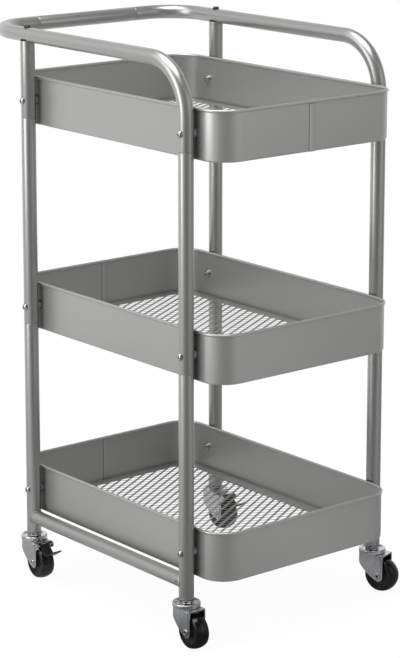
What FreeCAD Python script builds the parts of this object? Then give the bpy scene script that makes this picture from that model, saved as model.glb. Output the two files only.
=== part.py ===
import FreeCAD, Part
import math
import os
import Sketcher
from FreeCAD import Placement, Rotation, Vector

# Utility trolley: four round posts, three sheet-metal baskets with mesh floors,
# a bent push handle and four swivel castors. Millimetres, +Z up, floor at z = 0.
# The long side and the handle's overhang run along X, the handle points to -X.

# Lengths, each of which can be set by itself.
LENGTHS = [
    ("tube_diameter", 19.0, "outside of the posts and of the handle"),
    ("tube_wall", 1.2, "wall of that tube"),
    ("swage_clearance", 0.1, "radial room of a narrowed tube end in the next tube"),
    ("swage_length", 38.0, "length of a post's narrowed end"),
    ("post_spacing_x", 327.0, "post axis to post axis along the long side"),
    ("post_spacing_y", 316.0, "post axis to post axis across"),
    ("lower_screw_rise", 59.5, "lower basket's screws above the posts' lower ends"),
    ("middle_screw_rise", 252.0, "middle basket's screws above the lower one's"),
    ("upper_screw_rise", 275.0, "upper basket's screws above the middle one's"),
    ("joint_drop", 22.5, "post joint below the screws of the two upper baskets"),
    ("handle_rise", 86.0, "axis of the handle's rails above the upper screws"),
    ("handle_overhang", 88.0, "push bar axis beyond the rear posts' axes"),
    ("handle_bend_radius", 66.0, "bend from a post into a handle rail"),
    ("handle_corner_radius", 54.0, "bend from a rail towards the push bar"),
    ("handle_return", 77.0, "bent tube's end inwards from its rail's axis"),
    ("push_plug_length", 21.0, "narrowed end of the push bar in each bent tube"),
    ("saddle_rise", 2.0, "how far a short post's top reaches up beside the rail"),
    ("weld_clearance", 0.05, "room between a tube's cut end and the tube it meets"),
    ("base_rail_diameter", 18.0, "outside of the two base rails"),
    ("base_rail_wall", 1.2, "wall of the base rails"),
    ("base_rail_rise", 20.8, "base rails' axes above the posts' lower ends"),
    ("vent_diameter", 2.6, "vent hole in a base rail"),
    ("vent_inset", 9.5, "vent hole from the post's axis"),
    ("basket_overhang", 49.5, "basket's end beyond the posts' axes"),
    ("basket_gap", 3.0, "posts to the basket walls"),
    ("basket_corner_radius", 34.0, "outside corner of a basket wall"),
    ("sheet_thickness", 0.8, "sheet of the basket walls"),
    ("basket_below_screw", 33.0, "wall's lower edge below its screws"),
    ("basket_above_screw", 31.0, "rim's top above the screws"),
    ("rim_bead_radius", 2.0, "rolled rim"),
    ("floor_lip_width", 9.0, "inward lip under the mesh"),
    ("lap_width", 9.0, "overlap of the sheet's two ends"),
    ("mesh_thickness", 1.2, "expanded mesh sheet"),
    ("mesh_clearance", 0.4, "mesh sheet's edge to the wall's lap"),
    ("mesh_margin", 9.5, "closed edge of the mesh sheet"),
    ("gap_pitch_x", 20.5, "mesh opening to the next one along X"),
    ("gap_pitch_y", 35.5, "mesh opening to the next one along Y"),
    ("strand_width", 2.4, "mesh strand"),
    ("screw_diameter", 5.0, "basket and handle screws"),
    ("screw_room", 0.2, "radial room of a screw in its hole"),
    ("screw_head_diameter", 9.0, "pan head"),
    ("screw_head_height", 3.0, "pan head"),
    ("screw_head_round", 1.6, "rounding of the pan head"),
    ("screw_drive_diameter", 3.4, "recess in the pan head"),
    ("screw_drive_depth", 1.4, "recess in the pan head"),
    ("screw_end", 1.6, "screw beyond its nut"),
    ("washer_diameter", 11.0, "washer inside the basket"),
    ("washer_thickness", 1.0, "washer inside the basket"),
    ("nut_flats", 8.0, "basket nut across its flats"),
    ("nut_height", 4.0, "basket nut"),
    ("spacer_diameter", 12.0, "saddle spacer between post and basket"),
    ("handle_screw_length", 36.0, "shank of the screw down through a rail"),
    ("handle_insert_length", 16.0, "threaded plug in a short post's top"),
    ("handle_insert_drop", 4.0, "that plug below the post's top"),
    ("seat_clearance", 0.05, "radial room of a piece pressed or screwed into another"),
    ("running_clearance", 0.06, "radial room of a shaft that turns in a hole"),
    ("wheel_diameter", 45.0, "castor wheel over its tyre"),
    ("tyre_width", 19.0, "castor tyre"),
    ("tyre_shoulder", 2.5, "rounding of the tyre's shoulders"),
    ("tyre_depth", 6.5, "tread to the wheel core"),
    ("core_inset", 1.0, "tyre's side to the core's rim"),
    ("core_rim_depth", 2.5, "radial depth of that rim"),
    ("core_dish", 2.25, "rim's side to the core's web"),
    ("hub_diameter", 14.0, "hub of the wheel core"),
    ("hub_play", 0.5, "hub's end to the fork's cheek"),
    ("axle_diameter", 6.0, "hollow rivet axle"),
    ("axle_bore_diameter", 3.0, "hollow of the rivet"),
    ("rivet_head_diameter", 9.0, "heads of the rivet"),
    ("rivet_head_height", 1.3, "heads of the rivet"),
    ("castor_trail", 15.5, "axle behind the swivel axis"),
    ("fork_room", 1.3, "tyre's side to the fork's cheek"),
    ("crown_gap", 4.2, "tread to the fork's plate"),
    ("fork_sheet", 1.5, "sheet of the fork's cheeks"),
    ("fork_plate", 1.8, "fork's top plate"),
    ("fork_bulge", 4.9, "rounded front's radius beyond half the fork's width"),
    ("fork_tip_radius", 7.5, "rounded tip round the axle"),
    ("rib_radius", 4.6, "pressed rib of the cheeks, round its ends"),
    ("rib_depth", 0.7, "how far that rib stands out"),
    ("rib_drop", 6.0, "rib's upper end below the top of the fork"),
    ("fork_lip", 5.0, "height of the wall round the fork's front"),
    ("fork_sweep_radius", 62.0, "curve of the fork's front edge"),
    ("kingpin_diameter", 10.0, "castor stem"),
    ("kingpin_rise", 22.0, "stem above the post's lower end"),
    ("kingpin_room", 8.0, "socket beyond the stem's end"),
    ("kingpin_head_diameter", 15.0, "stem's head under the fork's plate"),
    ("kingpin_head_height", 2.2, "stem's head under the fork's plate"),
    ("kingpin_gap", 0.3, "stem's head to the fork's plate"),
    ("stem_chamfer", 1.0, "end of the stem"),
    ("cap_overhang", 0.5, "upper raceway beyond the fork's front"),
    ("cap_skirt", 1.8, "wall of the raceway's skirt"),
    ("cap_skirt_gap", 0.4, "skirt to the fork's plate"),
    ("cap_race_gap", 1.4, "raceway to the fork's plate"),
    ("cap_height", 5.5, "raceway's top above the fork's plate"),
    ("cap_dish_depth", 1.5, "hollow in the raceway's top"),
    ("cap_bevel", 1.2, "bevel of the raceway's edges"),
    ("ball_diameter", 3.0, "bearing ball"),
    ("ball_inset", 1.7, "ball to the raceway's skirt"),
    ("ball_room", 0.1, "ball to its groove"),
    ("castor_nut_flats", 17.0, "hexagon nut under the post"),
    ("castor_nut_height", 5.5, "hexagon nut under the post"),
    ("brake_pin_diameter", 3.0, "pin of the brake pedal"),
    ("brake_pin_setback", 3.0, "that pin behind the cheeks"),
    ("brake_eye_wall", 1.0, "eye of the pedal round its pin"),
    ("brake_ear_radius", 4.0, "fork's ear round the pin"),
    ("brake_sheet", 1.5, "sheet of the pedal"),
    ("brake_width", 14.0, "width of the pedal"),
    ("brake_room", 2.2, "released pedal to the tread"),
    ("brake_drop_length", 17.0, "pedal from its pin to its bend"),
    ("brake_knee_radius", 4.0, "pedal's bend"),
    ("brake_tread_length", 25.5, "pedal from its bend to its tip"),
    ("brake_tip_round", 4.0, "corners of the pedal's tip"),
    ("overrun", 5.0, "how far a cut runs past what it cuts"),
]

# Sizes that follow from the lengths.
DERIVED = [
    ("tube_radius", "tube_diameter / 2"),
    ("tube_bore_radius", "tube_radius - tube_wall"),
    ("swage_radius", "tube_bore_radius - swage_clearance"),
    ("swage_bore_radius", "swage_radius - tube_wall"),
    ("half_spacing_x", "post_spacing_x / 2"),
    ("half_spacing_y", "post_spacing_y / 2"),
    ("wheel_radius", "wheel_diameter / 2"),
    ("fork_plate_low", "wheel_diameter + crown_gap"),
    ("fork_top_height", "fork_plate_low + fork_plate"),
    ("cap_top", "fork_top_height + cap_height"),
    ("cap_dish_low", "cap_top - cap_dish_depth"),
    ("castor_height", "cap_dish_low + castor_nut_height"),
    ("base_rail_height", "castor_height + base_rail_rise"),
    ("lower_screw_height", "castor_height + lower_screw_rise"),
    ("middle_screw_height", "lower_screw_height + middle_screw_rise"),
    ("upper_screw_height", "middle_screw_height + upper_screw_rise"),
    ("handle_axis_height", "upper_screw_height + handle_rise"),
    ("middle_joint", "middle_screw_height - joint_drop"),
    ("upper_joint", "upper_screw_height - joint_drop"),
    ("middle_plug_top", "middle_joint + swage_length"),
    ("upper_plug_top", "upper_joint + swage_length"),
    ("middle_shoulder", "middle_joint - tube_wall"),
    ("upper_shoulder", "upper_joint - tube_wall"),
    ("short_post_top", "handle_axis_height - tube_radius + saddle_rise"),
    ("saddle_radius", "tube_radius + weld_clearance"),
    ("screw_radius", "screw_diameter / 2"),
    ("screw_hole_radius", "screw_radius + screw_room"),
    ("rail_radius", "base_rail_diameter / 2"),
    ("rail_bore_radius", "rail_radius - base_rail_wall"),
    ("vent_radius", "vent_diameter / 2"),
    ("vent_place", "half_spacing_x - vent_inset"),
    ("vent_depth", "rail_radius + overrun"),
    ("rail_low_end", "-half_spacing_x"),
    ("push_half", "half_spacing_y - handle_return"),
    ("push_low", "-push_half"),
    ("push_end", "push_half + push_plug_length"),
    ("push_low_end", "-push_end"),
    ("head_radius", "screw_head_diameter / 2"),
    ("head_low", "-screw_head_height"),
    ("drive_radius", "screw_drive_diameter / 2"),
    ("drive_low", "screw_drive_depth - screw_head_height"),
    ("basket_length", "post_spacing_x + 2 * basket_overhang"),
    ("basket_depth", "post_spacing_y - tube_diameter - 2 * basket_gap"),
    ("spacer_length", "basket_gap + tube_radius"),
    ("basket_screw_length",
     "tube_diameter + basket_gap + sheet_thickness + washer_thickness + nut_height + screw_end"),
    ("washer_radius", "washer_diameter / 2"),
    ("seat_radius", "screw_radius + seat_clearance"),
    ("spacer_radius", "spacer_diameter / 2"),
    ("insert_radius", "tube_bore_radius - seat_clearance"),
    ("tyre_half", "tyre_width / 2"),
    ("tyre_low", "-tyre_half"),
    ("core_radius", "wheel_radius - tyre_depth"),
    ("tyre_bore_radius", "core_radius + seat_clearance"),
    ("core_rim_half", "tyre_half - core_inset"),
    ("core_rim_low", "-core_rim_half"),
    ("core_rim_bore", "core_radius - core_rim_depth"),
    ("core_web_half", "core_rim_half - core_dish"),
    ("core_web_low", "-core_web_half"),
    ("hub_radius", "hub_diameter / 2"),
    ("fork_gap_half", "tyre_half + fork_room"),
    ("fork_gap", "2 * fork_gap_half"),
    ("fork_gap_low", "-fork_gap_half"),
    ("fork_half", "fork_gap_half + fork_sheet"),
    ("fork_low_half", "-fork_half"),
    ("fork_width", "2 * fork_half"),
    ("rib_half", "fork_half + rib_depth"),
    ("rib_low_half", "-rib_half"),
    ("rib_width", "2 * rib_half"),
    ("rib_front", "castor_trail - rib_radius"),
    ("rib_back", "castor_trail + rib_radius"),
    ("rib_top", "fork_top_height - rib_drop"),
    ("hub_half", "fork_gap_half - hub_play"),
    ("hub_low", "-hub_half"),
    ("axle_radius", "axle_diameter / 2"),
    ("axle_bore_radius", "axle_bore_diameter / 2"),
    ("hub_bore_radius", "axle_radius + running_clearance"),
    ("axle_hole_radius", "axle_radius + seat_clearance"),
    ("rivet_head_radius", "rivet_head_diameter / 2"),
    ("rivet_end", "rib_half + rivet_head_height"),
    ("rivet_low_end", "-rivet_end"),
    ("fork_back", "castor_trail + fork_tip_radius"),
    ("fork_front_radius", "fork_half + fork_bulge"),
    ("fork_front", "-sqrt(fork_front_radius ^ 2 - fork_half ^ 2)"),
    ("fork_inner_radius", "fork_front_radius - fork_sheet"),
    ("fork_inner_front", "-sqrt(fork_inner_radius ^ 2 - fork_gap_half ^ 2)"),
    ("fork_inner_back", "fork_back + overrun"),
    ("fork_lip_low", "fork_plate_low - fork_lip"),
    ("fork_cut_front", "-fork_front_radius"),
    ("fork_cut_far", "-fork_front_radius - overrun"),
    ("fork_cut_back", "fork_back + overrun"),
    ("fork_cut_low", "-overrun"),
    ("fork_tip_low", "wheel_radius - fork_tip_radius"),
    ("kingpin_radius", "kingpin_diameter / 2"),
    ("kingpin_top", "castor_height + kingpin_rise"),
    ("kingpin_shoulder", "kingpin_top - stem_chamfer"),
    ("kingpin_tip_radius", "kingpin_radius - stem_chamfer"),
    ("kingpin_head_radius", "kingpin_head_diameter / 2"),
    ("kingpin_head_top", "fork_plate_low - kingpin_gap"),
    ("kingpin_head_low", "kingpin_head_top - kingpin_head_height"),
    ("fork_pin_hole", "kingpin_radius + running_clearance"),
    ("socket_length", "kingpin_rise + kingpin_room"),
    ("cap_radius", "fork_front_radius + cap_overhang"),
    ("cap_skirt_radius", "cap_radius - cap_skirt"),
    ("cap_bore_radius", "kingpin_radius + seat_clearance"),
    ("cap_skirt_low", "fork_top_height + cap_skirt_gap"),
    ("cap_race_low", "fork_top_height + cap_race_gap"),
    ("cap_edge_radius", "cap_radius - cap_bevel"),
    ("cap_edge_low", "cap_top - cap_bevel"),
    ("cap_dish_radius", "cap_radius - cap_skirt - 2 * cap_bevel"),
    ("cap_dish_edge", "cap_dish_radius + cap_bevel"),
    ("ball_radius", "ball_diameter / 2"),
    ("ball_circle_radius", "cap_skirt_radius - ball_inset - ball_radius"),
    ("ball_height", "fork_top_height + cap_race_gap / 2"),
    ("groove_radius", "ball_radius + ball_room"),
    ("brake_pin_radius", "brake_pin_diameter / 2"),
    ("brake_hole_radius", "brake_pin_radius + running_clearance"),
    ("brake_seat_radius", "brake_pin_radius + seat_clearance"),
    ("brake_pin_back", "fork_back + brake_pin_setback"),
    ("brake_pin_height", "fork_top_height - brake_ear_radius"),
    ("brake_ear_low", "brake_pin_height - brake_ear_radius"),
    ("brake_cut_back", "brake_pin_back + brake_ear_radius + overrun"),
    ("brake_eye_radius", "brake_hole_radius + brake_eye_wall"),
    ("brake_pin_half", "fork_half + rivet_head_height"),
]

# Turn of each fork about its stem from the direction in which all of them trail, degrees.
REST_TURN = {"front_left": -4.0, "front_right": -3.0, "back_right": 16.0, "back_left": 6.0}
BRAKED = ("front_left", "back_left")

# Slope of the pedal's tread behind its bend, degrees.
PEDAL_RISE = 30.0

# Counts.
BALLS_PER_CASTOR = 12
HEX = 6
FULL_TURN = 360.0
HALF_TURN = 180.0
RIGHT_ANGLE = 90.0

# The four posts: name, side along X, side along Y.
CORNERS = [
    ("front_left", -1, -1),
    ("front_right", 1, -1),
    ("back_right", 1, 1),
    ("back_left", -1, 1),
]
# The three baskets: name, height of its screws, side of the sheet's lap along X.
TIERS = [
    ("lower", "lower_screw_height", -1),
    ("middle", "middle_screw_height", -1),
    ("upper", "upper_screw_height", 1),
]

X_AXIS = Vector(1, 0, 0)
Y_AXIS = Vector(0, 1, 0)
Z_AXIS = Vector(0, 0, 1)

doc = FreeCAD.newDocument("UtilityTrolley")
sheet = doc.addObject("Spreadsheet::Sheet", "Sizes")


def fill_sheet():
    """Write every size into the sheet, the driving ones as numbers, the rest as formulas."""
    row = 1
    for alias, value, note in LENGTHS:
        sheet.set("A%d" % row, note)
        sheet.set("B%d" % row, str(value))
        sheet.setAlias("B%d" % row, alias)
        row += 1
    for alias, formula in DERIVED:
        sheet.set("A%d" % row, "follows")
        sheet.set("B%d" % row, "=" + formula)
        sheet.setAlias("B%d" % row, alias)
        row += 1
    doc.recompute()


def cell(alias):
    """Value of a named cell in millimetres; None stands for zero."""
    if alias is None:
        return 0.0
    return float(sheet.get(alias))


def bind(thing, prop, alias):
    """Tie a property to a named cell."""
    thing.setExpression(prop, "Sizes." + alias)


fill_sheet()


def pedal_points():
    """Pin, bend and tip of the released pedal, in the plane of its fork."""
    pin = Vector(cell("brake_pin_back"), 0, cell("brake_pin_height"))
    hub = Vector(cell("castor_trail"), 0, cell("wheel_radius"))
    reach = pin.sub(hub)
    level = math.atan2(reach.x, reach.z)
    line = cell("wheel_radius") + cell("brake_room") + cell("brake_sheet") / 2
    slope = level + math.acos(min(line / reach.Length, 1.0))
    knee = pin + Vector(math.cos(slope), 0, -math.sin(slope)) * cell("brake_drop_length")
    rise = math.radians(PEDAL_RISE)
    tip = knee + Vector(math.cos(rise), 0, math.sin(rise)) * cell("brake_tread_length")
    return pin, knee, tip


# The frame's origin lies on the floor, midway between the push bar and the upper basket's far rim.
basket_far_x = (cell("basket_length") - cell("sheet_thickness")) / 2 + cell("rim_bead_radius")
handle_far_x = cell("half_spacing_x") + cell("handle_overhang") + cell("tube_radius")
ORIGIN_SHIFT = Vector((handle_far_x - basket_far_x) / 2, 0, 0)

parts = {}


def keep(name, thing):
    """Label an object as a sub-part of the trolley and remember it under its node name."""
    thing.Label = name
    parts[name] = thing
    return thing


def move(thing, x=0.0, y=0.0, z=0.0, rotation=Rotation()):
    """Put a sub-part at a place given from the middle of the four posts on the floor."""
    thing.Placement = Placement(Vector(x, y, z) + ORIGIN_SHIFT, rotation)


def new_body(name):
    """An empty body."""
    return doc.addObject("PartDesign::Body", name)


def new_sketch(body, name, role):
    """A sketch on one of the body's own origin planes."""
    sketch = body.newObject("Sketcher::SketchObject", name)
    plane = [f for f in body.Origin.OriginFeatures if f.Role == role][0]
    sketch.AttachmentSupport = (plane, [""])
    sketch.MapMode = "FlatFace"
    return sketch


def pin_coordinate(sketch, geometry, point, kind, alias):
    """Tie one coordinate of a sketch point to a cell, or to the axis where it is zero."""
    if alias is None:
        axis = -2 if kind == "DistanceX" else -1
        sketch.addConstraint(Sketcher.Constraint("PointOnObject", geometry, point, axis))
        return
    index = sketch.addConstraint(
        Sketcher.Constraint(kind, -1, 1, geometry, point, cell(alias)))
    bind(sketch, "Constraints[%d]" % index, alias)


def arc_between(start, end, radius, turn):
    """Short arc between two points; turn is 1 where it bends left on its way, else -1."""
    chord = end - start
    rise = math.sqrt(max(radius ** 2 - (chord.Length / 2) ** 2, 0.0))
    left = Vector(-chord.y, chord.x, 0).normalize()
    centre = (start + end) / 2 + left * rise * turn
    first = math.atan2(start.y - centre.y, start.x - centre.x)
    last = math.atan2(end.y - centre.y, end.x - centre.x)
    circle = Part.Circle(centre, Z_AXIS, radius)
    if turn > 0:
        return Part.ArcOfCircle(circle, first, last)
    return Part.ArcOfCircle(circle, last, first)


def draw_outline(sketch, corners):
    """Closed outline through corners (across, up, bend): bend is None for a straight side,
    (radius cell, turn) for an arc to the next corner, or (radius cell, turn, kind, cell) for
    a half circle whose centre lies at that coordinate."""
    spots = [Vector(cell(across), cell(up), 0) for across, up, bend in corners]
    ends = []
    for i, (across, up, bend) in enumerate(corners):
        start = spots[i]
        end = spots[(i + 1) % len(spots)]
        if bend is None:
            sketch.addGeometry(Part.LineSegment(start, end), False)
            ends.append((1, 2))
        else:
            radius, turn = bend[:2]
            sketch.addGeometry(arc_between(start, end, cell(radius), turn), False)
            ends.append((1, 2) if turn > 0 else (2, 1))
    for i in range(len(corners)):
        after = (i + 1) % len(corners)
        sketch.addConstraint(
            Sketcher.Constraint("Coincident", i, ends[i][1], after, ends[after][0]))
    for i, (across, up, bend) in enumerate(corners):
        pin_coordinate(sketch, i, ends[i][0], "DistanceX", across)
        pin_coordinate(sketch, i, ends[i][0], "DistanceY", up)
        if bend is not None and len(bend) == 2:
            index = sketch.addConstraint(Sketcher.Constraint("Radius", i, cell(bend[0])))
            bind(sketch, "Constraints[%d]" % index, bend[0])
        elif bend is not None:
            pin_coordinate(sketch, i, 3, bend[2], bend[3])


def draw_circle(sketch, across, up, radius):
    """Circle whose centre and radius are cells."""
    spot = Vector(cell(across), cell(up), 0)
    index = sketch.addGeometry(Part.Circle(spot, Z_AXIS, cell(radius)), False)
    pin_coordinate(sketch, index, 3, "DistanceX", across)
    pin_coordinate(sketch, index, 3, "DistanceY", up)
    size = sketch.addConstraint(Sketcher.Constraint("Radius", index, cell(radius)))
    bind(sketch, "Constraints[%d]" % size, radius)


def turned(name, outline):
    """Body turned about its Z axis from corners (radius cell, height cell)."""
    body = new_body(name)
    sketch = new_sketch(body, name + "_profile", "XZ_Plane")
    draw_outline(sketch, [(radius, height, None) for radius, height in outline])
    turn = body.newObject("PartDesign::Revolution", name + "_turned")
    turn.Profile = sketch
    turn.ReferenceAxis = (sketch, ["V_Axis"])
    turn.Angle = FULL_TURN
    body.Tip = turn
    doc.recompute()
    return body


def cut_through(body, name, role, circles):
    """Round holes right through a body, square to one of its planes."""
    before = body.Shape.Volume
    sketch = new_sketch(body, name + "_sketch", role)
    for across, up, radius in circles:
        draw_circle(sketch, across, up, radius)
    pocket = body.newObject("PartDesign::Pocket", name)
    pocket.Profile = sketch
    pocket.Type = "ThroughAll"
    pocket.Midplane = True
    body.Tip = pocket
    doc.recompute()
    check_cut(name, before, body.Shape.Volume)


def check_cut(name, before, after):
    """A cut that removes nothing is a mistake."""
    if after >= before:
        raise RuntimeError(name + " removes nothing")


def groove_ring(body, name, radius_place, height, radius):
    """Round groove turned about the body's Z axis."""
    before = body.Shape.Volume
    sketch = new_sketch(body, name + "_sketch", "XZ_Plane")
    draw_circle(sketch, radius_place, height, radius)
    groove = body.newObject("PartDesign::Groove", name)
    groove.Profile = sketch
    groove.ReferenceAxis = (sketch, ["V_Axis"])
    groove.Angle = FULL_TURN
    body.Tip = groove
    doc.recompute()
    check_cut(name, before, body.Shape.Volume)


def round_edges(body, name, radius, chosen):
    """Fillet the edges of the body's present shape for which chosen(edge) is true."""
    base = body.Tip
    names = ["Edge%d" % (i + 1) for i, e in enumerate(base.Shape.Edges) if chosen(e)]
    fillet = body.newObject("PartDesign::Fillet", name)
    fillet.Base = (base, names)
    bind(fillet, "Radius", radius)
    body.Tip = fillet
    doc.recompute()


def is_circle(edge, radius):
    """True for a whole round edge of this radius."""
    round_edge = isinstance(edge.Curve, Part.Circle)
    return round_edge and abs(edge.Curve.Radius - cell(radius)) < cell("seat_clearance") / 2


def part_cylinder(name, radius, length):
    """Part cylinder along Z with bound sizes."""
    cylinder = doc.addObject("Part::Cylinder", name)
    bind(cylinder, "Radius", radius)
    bind(cylinder, "Height", length)
    return cylinder


def hex_nut(name, flats, length, bore):
    """Hexagon nut along Z."""
    prism = doc.addObject("Part::Prism", name + "_hexagon")
    prism.Polygon = HEX
    prism.setExpression("Circumradius", "Sizes.%s / sqrt(3)" % flats)
    bind(prism, "Height", length)
    hole = part_cylinder(name + "_bore", bore, length)
    nut = doc.addObject("Part::Cut", name)
    nut.Base = prism
    nut.Tool = hole
    doc.recompute()
    return nut


def ring(name, outer, bore, length):
    """Plain ring along Z."""
    body = part_cylinder(name + "_disc", outer, length)
    hole = part_cylinder(name + "_bore", bore, length)
    result = doc.addObject("Part::Cut", name)
    result.Base = body
    result.Tool = hole
    doc.recompute()
    return result


def group(name, form, places):
    """One node made of equal separate solids, copies of a form at places."""
    copies = []
    for place in places:
        copy = form.Shape.copy()
        copy.Placement = place.multiply(form.Placement)
        copies.append(copy)
    node = doc.addObject("Part::Feature", name)
    node.Shape = Part.makeCompound(copies)
    node.Placement = Placement(ORIGIN_SHIFT, Rotation())
    return keep(name, node)


def feature(name, shape):
    """Sub-part whose shape is built from Part's own functions."""
    node = doc.addObject("Part::Feature", name)
    node.Shape = shape
    node.Placement = Placement(ORIGIN_SHIFT, Rotation())
    return keep(name, node)


def bent_path(points, radii):
    """Wire of straight runs with a tangent arc of the given radius at each inner point."""
    edges = []
    start = points[0]
    for before, corner, after, radius in zip(points, points[1:], points[2:], radii):
        way_in = (corner - before).normalize()
        way_out = (after - corner).normalize()
        half = way_in.getAngle(way_out) / 2
        reach = radius * math.tan(half)
        first = corner - way_in * reach
        last = corner + way_out * reach
        inward = (way_out - way_in).normalize()
        middle = corner + inward * (radius / math.cos(half) - radius)
        edges.append(Part.LineSegment(start, first).toShape())
        edges.append(Part.Arc(first, middle, last).toShape())
        start = last
    edges.append(Part.LineSegment(start, points[-1]).toShape())
    return Part.Wire(edges)


def pipe(path, radius):
    """Round bar along a wire."""
    edge = path.OrderedEdges[0]
    begin = edge.valueAt(edge.FirstParameter)
    along = edge.tangentAt(edge.FirstParameter)
    section = Part.Wire([Part.Circle(begin, along, radius).toShape()])
    return path.makePipeShell([section], True, False)


def rounded_rectangle(length, depth, radius, height):
    """Closed wire of straight sides and corner arcs, centred on the Z axis, which starts
    in the middle of a long side."""
    x = length / 2
    y = depth / 2
    bow = radius * (1 - math.sqrt(0.5))
    spots = [
        (0, -y), (x - radius, -y), (x - bow, -y + bow), (x, -y + radius),
        (x, y - radius), (x - bow, y - bow), (x - radius, y),
        (radius - x, y), (bow - x, y - bow), (-x, y - radius),
        (-x, radius - y), (bow - x, bow - y), (radius - x, -y),
    ]
    p = [Vector(a, b, height) for a, b in spots]
    edges = [
        Part.LineSegment(p[0], p[1]).toShape(),
        Part.Arc(p[1], p[2], p[3]).toShape(),
        Part.LineSegment(p[3], p[4]).toShape(),
        Part.Arc(p[4], p[5], p[6]).toShape(),
        Part.LineSegment(p[6], p[7]).toShape(),
        Part.Arc(p[7], p[8], p[9]).toShape(),
        Part.LineSegment(p[9], p[10]).toShape(),
        Part.Arc(p[10], p[11], p[12]).toShape(),
        Part.LineSegment(p[12], p[0]).toShape(),
    ]
    return Part.Wire(edges)


def band(outer, inner, height):
    """Wall between two closed wires, extruded upwards."""
    return Part.makeFace([outer, inner], "Part::FaceMakerBullseye").extrude(Z_AXIS * height)


# Posts. Each is three tubes, joined by narrowed upper ends just under the baskets' screws.
def tube_with_plug(name, low, joint, shoulder, plug_top):
    """Straight tube whose upper end is narrowed to plug into the next tube."""
    return turned(name, [
        ("tube_bore_radius", low),
        ("tube_radius", low),
        ("tube_radius", joint),
        ("swage_radius", joint),
        ("swage_radius", plug_top),
        ("swage_bore_radius", plug_top),
        ("swage_bore_radius", shoulder),
        ("tube_bore_radius", shoulder),
    ])


def build_posts():
    """Lower and middle tubes of all four posts, and the short upper tubes at the handle's
    end."""
    for corner, side_x, side_y in CORNERS:
        x = side_x * cell("half_spacing_x")
        y = side_y * cell("half_spacing_y")
        lower = tube_with_plug(
            "post_%s_lower" % corner, "castor_height", "middle_joint",
            "middle_shoulder", "middle_plug_top")
        cut_through(lower, lower.Name + "_holes", "XZ_Plane", [
            (None, "lower_screw_height", "screw_hole_radius"),
            (None, "middle_screw_height", "screw_hole_radius")])
        middle = tube_with_plug(
            "post_%s_middle" % corner, "middle_joint", "upper_joint",
            "upper_shoulder", "upper_plug_top")
        cut_through(middle, middle.Name + "_holes", "XZ_Plane", [
            (None, "middle_screw_height", "screw_hole_radius"),
            (None, "upper_screw_height", "screw_hole_radius")])
        for body in (lower, middle):
            move(keep(body.Name, body), x, y)
        if side_x > 0:
            continue
        upper = turned("post_%s_upper" % corner, [
            ("tube_bore_radius", "upper_joint"),
            ("tube_radius", "upper_joint"),
            ("tube_radius", "short_post_top"),
            ("tube_bore_radius", "short_post_top"),
        ])
        cut_through(upper, upper.Name + "_holes", "XZ_Plane", [
            (None, "upper_screw_height", "screw_hole_radius")])
        cut_through(upper, upper.Name + "_saddle", "YZ_Plane", [
            (None, "handle_axis_height", "saddle_radius")])
        move(keep(upper.Name, upper), x, y)


# Handle. Two bent tubes go on from the right-hand posts, and a straight bar joins them.
def build_handle():
    """Bent tubes and push bar."""
    right = cell("half_spacing_x")
    top = cell("handle_axis_height")
    far = -right - cell("handle_overhang")
    bends = [cell("handle_bend_radius"), cell("handle_corner_radius")]
    hole = cell("screw_hole_radius")
    across = cell("tube_diameter") + 2 * cell("overrun")
    for side, side_name in ((-1, "front"), (1, "back")):
        y = side * cell("half_spacing_y")
        points = [
            Vector(right, y, cell("upper_joint")),
            Vector(right, y, top),
            Vector(far, y, top),
            Vector(far, side * cell("push_half"), top),
        ]
        path = bent_path(points, bends)
        tube = pipe(path, cell("tube_radius")).cut(pipe(path, cell("tube_bore_radius")))
        basket_hole = Part.makeCylinder(
            hole, across, Vector(right, y - across / 2, cell("upper_screw_height")), Y_AXIS)
        post_hole = Part.makeCylinder(hole, across, Vector(-right, y, top - across / 2), Z_AXIS)
        feature("handle_tube_" + side_name, tube.cut(basket_hole).cut(post_hole))
    bar = turned("push_bar", [
        ("swage_bore_radius", "push_low_end"),
        ("swage_radius", "push_low_end"),
        ("swage_radius", "push_low"),
        ("tube_radius", "push_low"),
        ("tube_radius", "push_half"),
        ("swage_radius", "push_half"),
        ("swage_radius", "push_end"),
        ("swage_bore_radius", "push_end"),
    ])
    move(keep("push_bar", bar), far, 0, top, Rotation(X_AXIS, RIGHT_ANGLE))


# Base rails, coped to the lower tubes of the posts along each long side.
def build_base_rails():
    """Tube between two posts, with a vent hole near its right-hand end."""
    for side, side_name in ((-1, "front"), (1, "back")):
        name = "base_rail_" + side_name
        body = new_body(name)
        sketch = new_sketch(body, name + "_section", "YZ_Plane")
        draw_circle(sketch, None, None, "rail_radius")
        draw_circle(sketch, None, None, "rail_bore_radius")
        pad = body.newObject("PartDesign::Pad", name + "_length")
        pad.Profile = sketch
        pad.Midplane = True
        bind(pad, "Length", "post_spacing_x")
        body.Tip = pad
        doc.recompute()
        cut_through(body, name + "_copes", "XY_Plane", [
            ("half_spacing_x", None, "saddle_radius"),
            ("rail_low_end", None, "saddle_radius")])
        before = body.Shape.Volume
        vent_sketch = new_sketch(body, name + "_vent_sketch", "XZ_Plane")
        draw_circle(vent_sketch, "vent_place", None, "vent_radius")
        vent = body.newObject("PartDesign::Pocket", name + "_vent")
        vent.Profile = vent_sketch
        vent.Reversed = side < 0
        bind(vent, "Length", "vent_depth")
        body.Tip = vent
        doc.recompute()
        check_cut(name + "_vent", before, body.Shape.Volume)
        move(keep(name, body), 0, side * cell("half_spacing_y"), cell("base_rail_height"))


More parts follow.
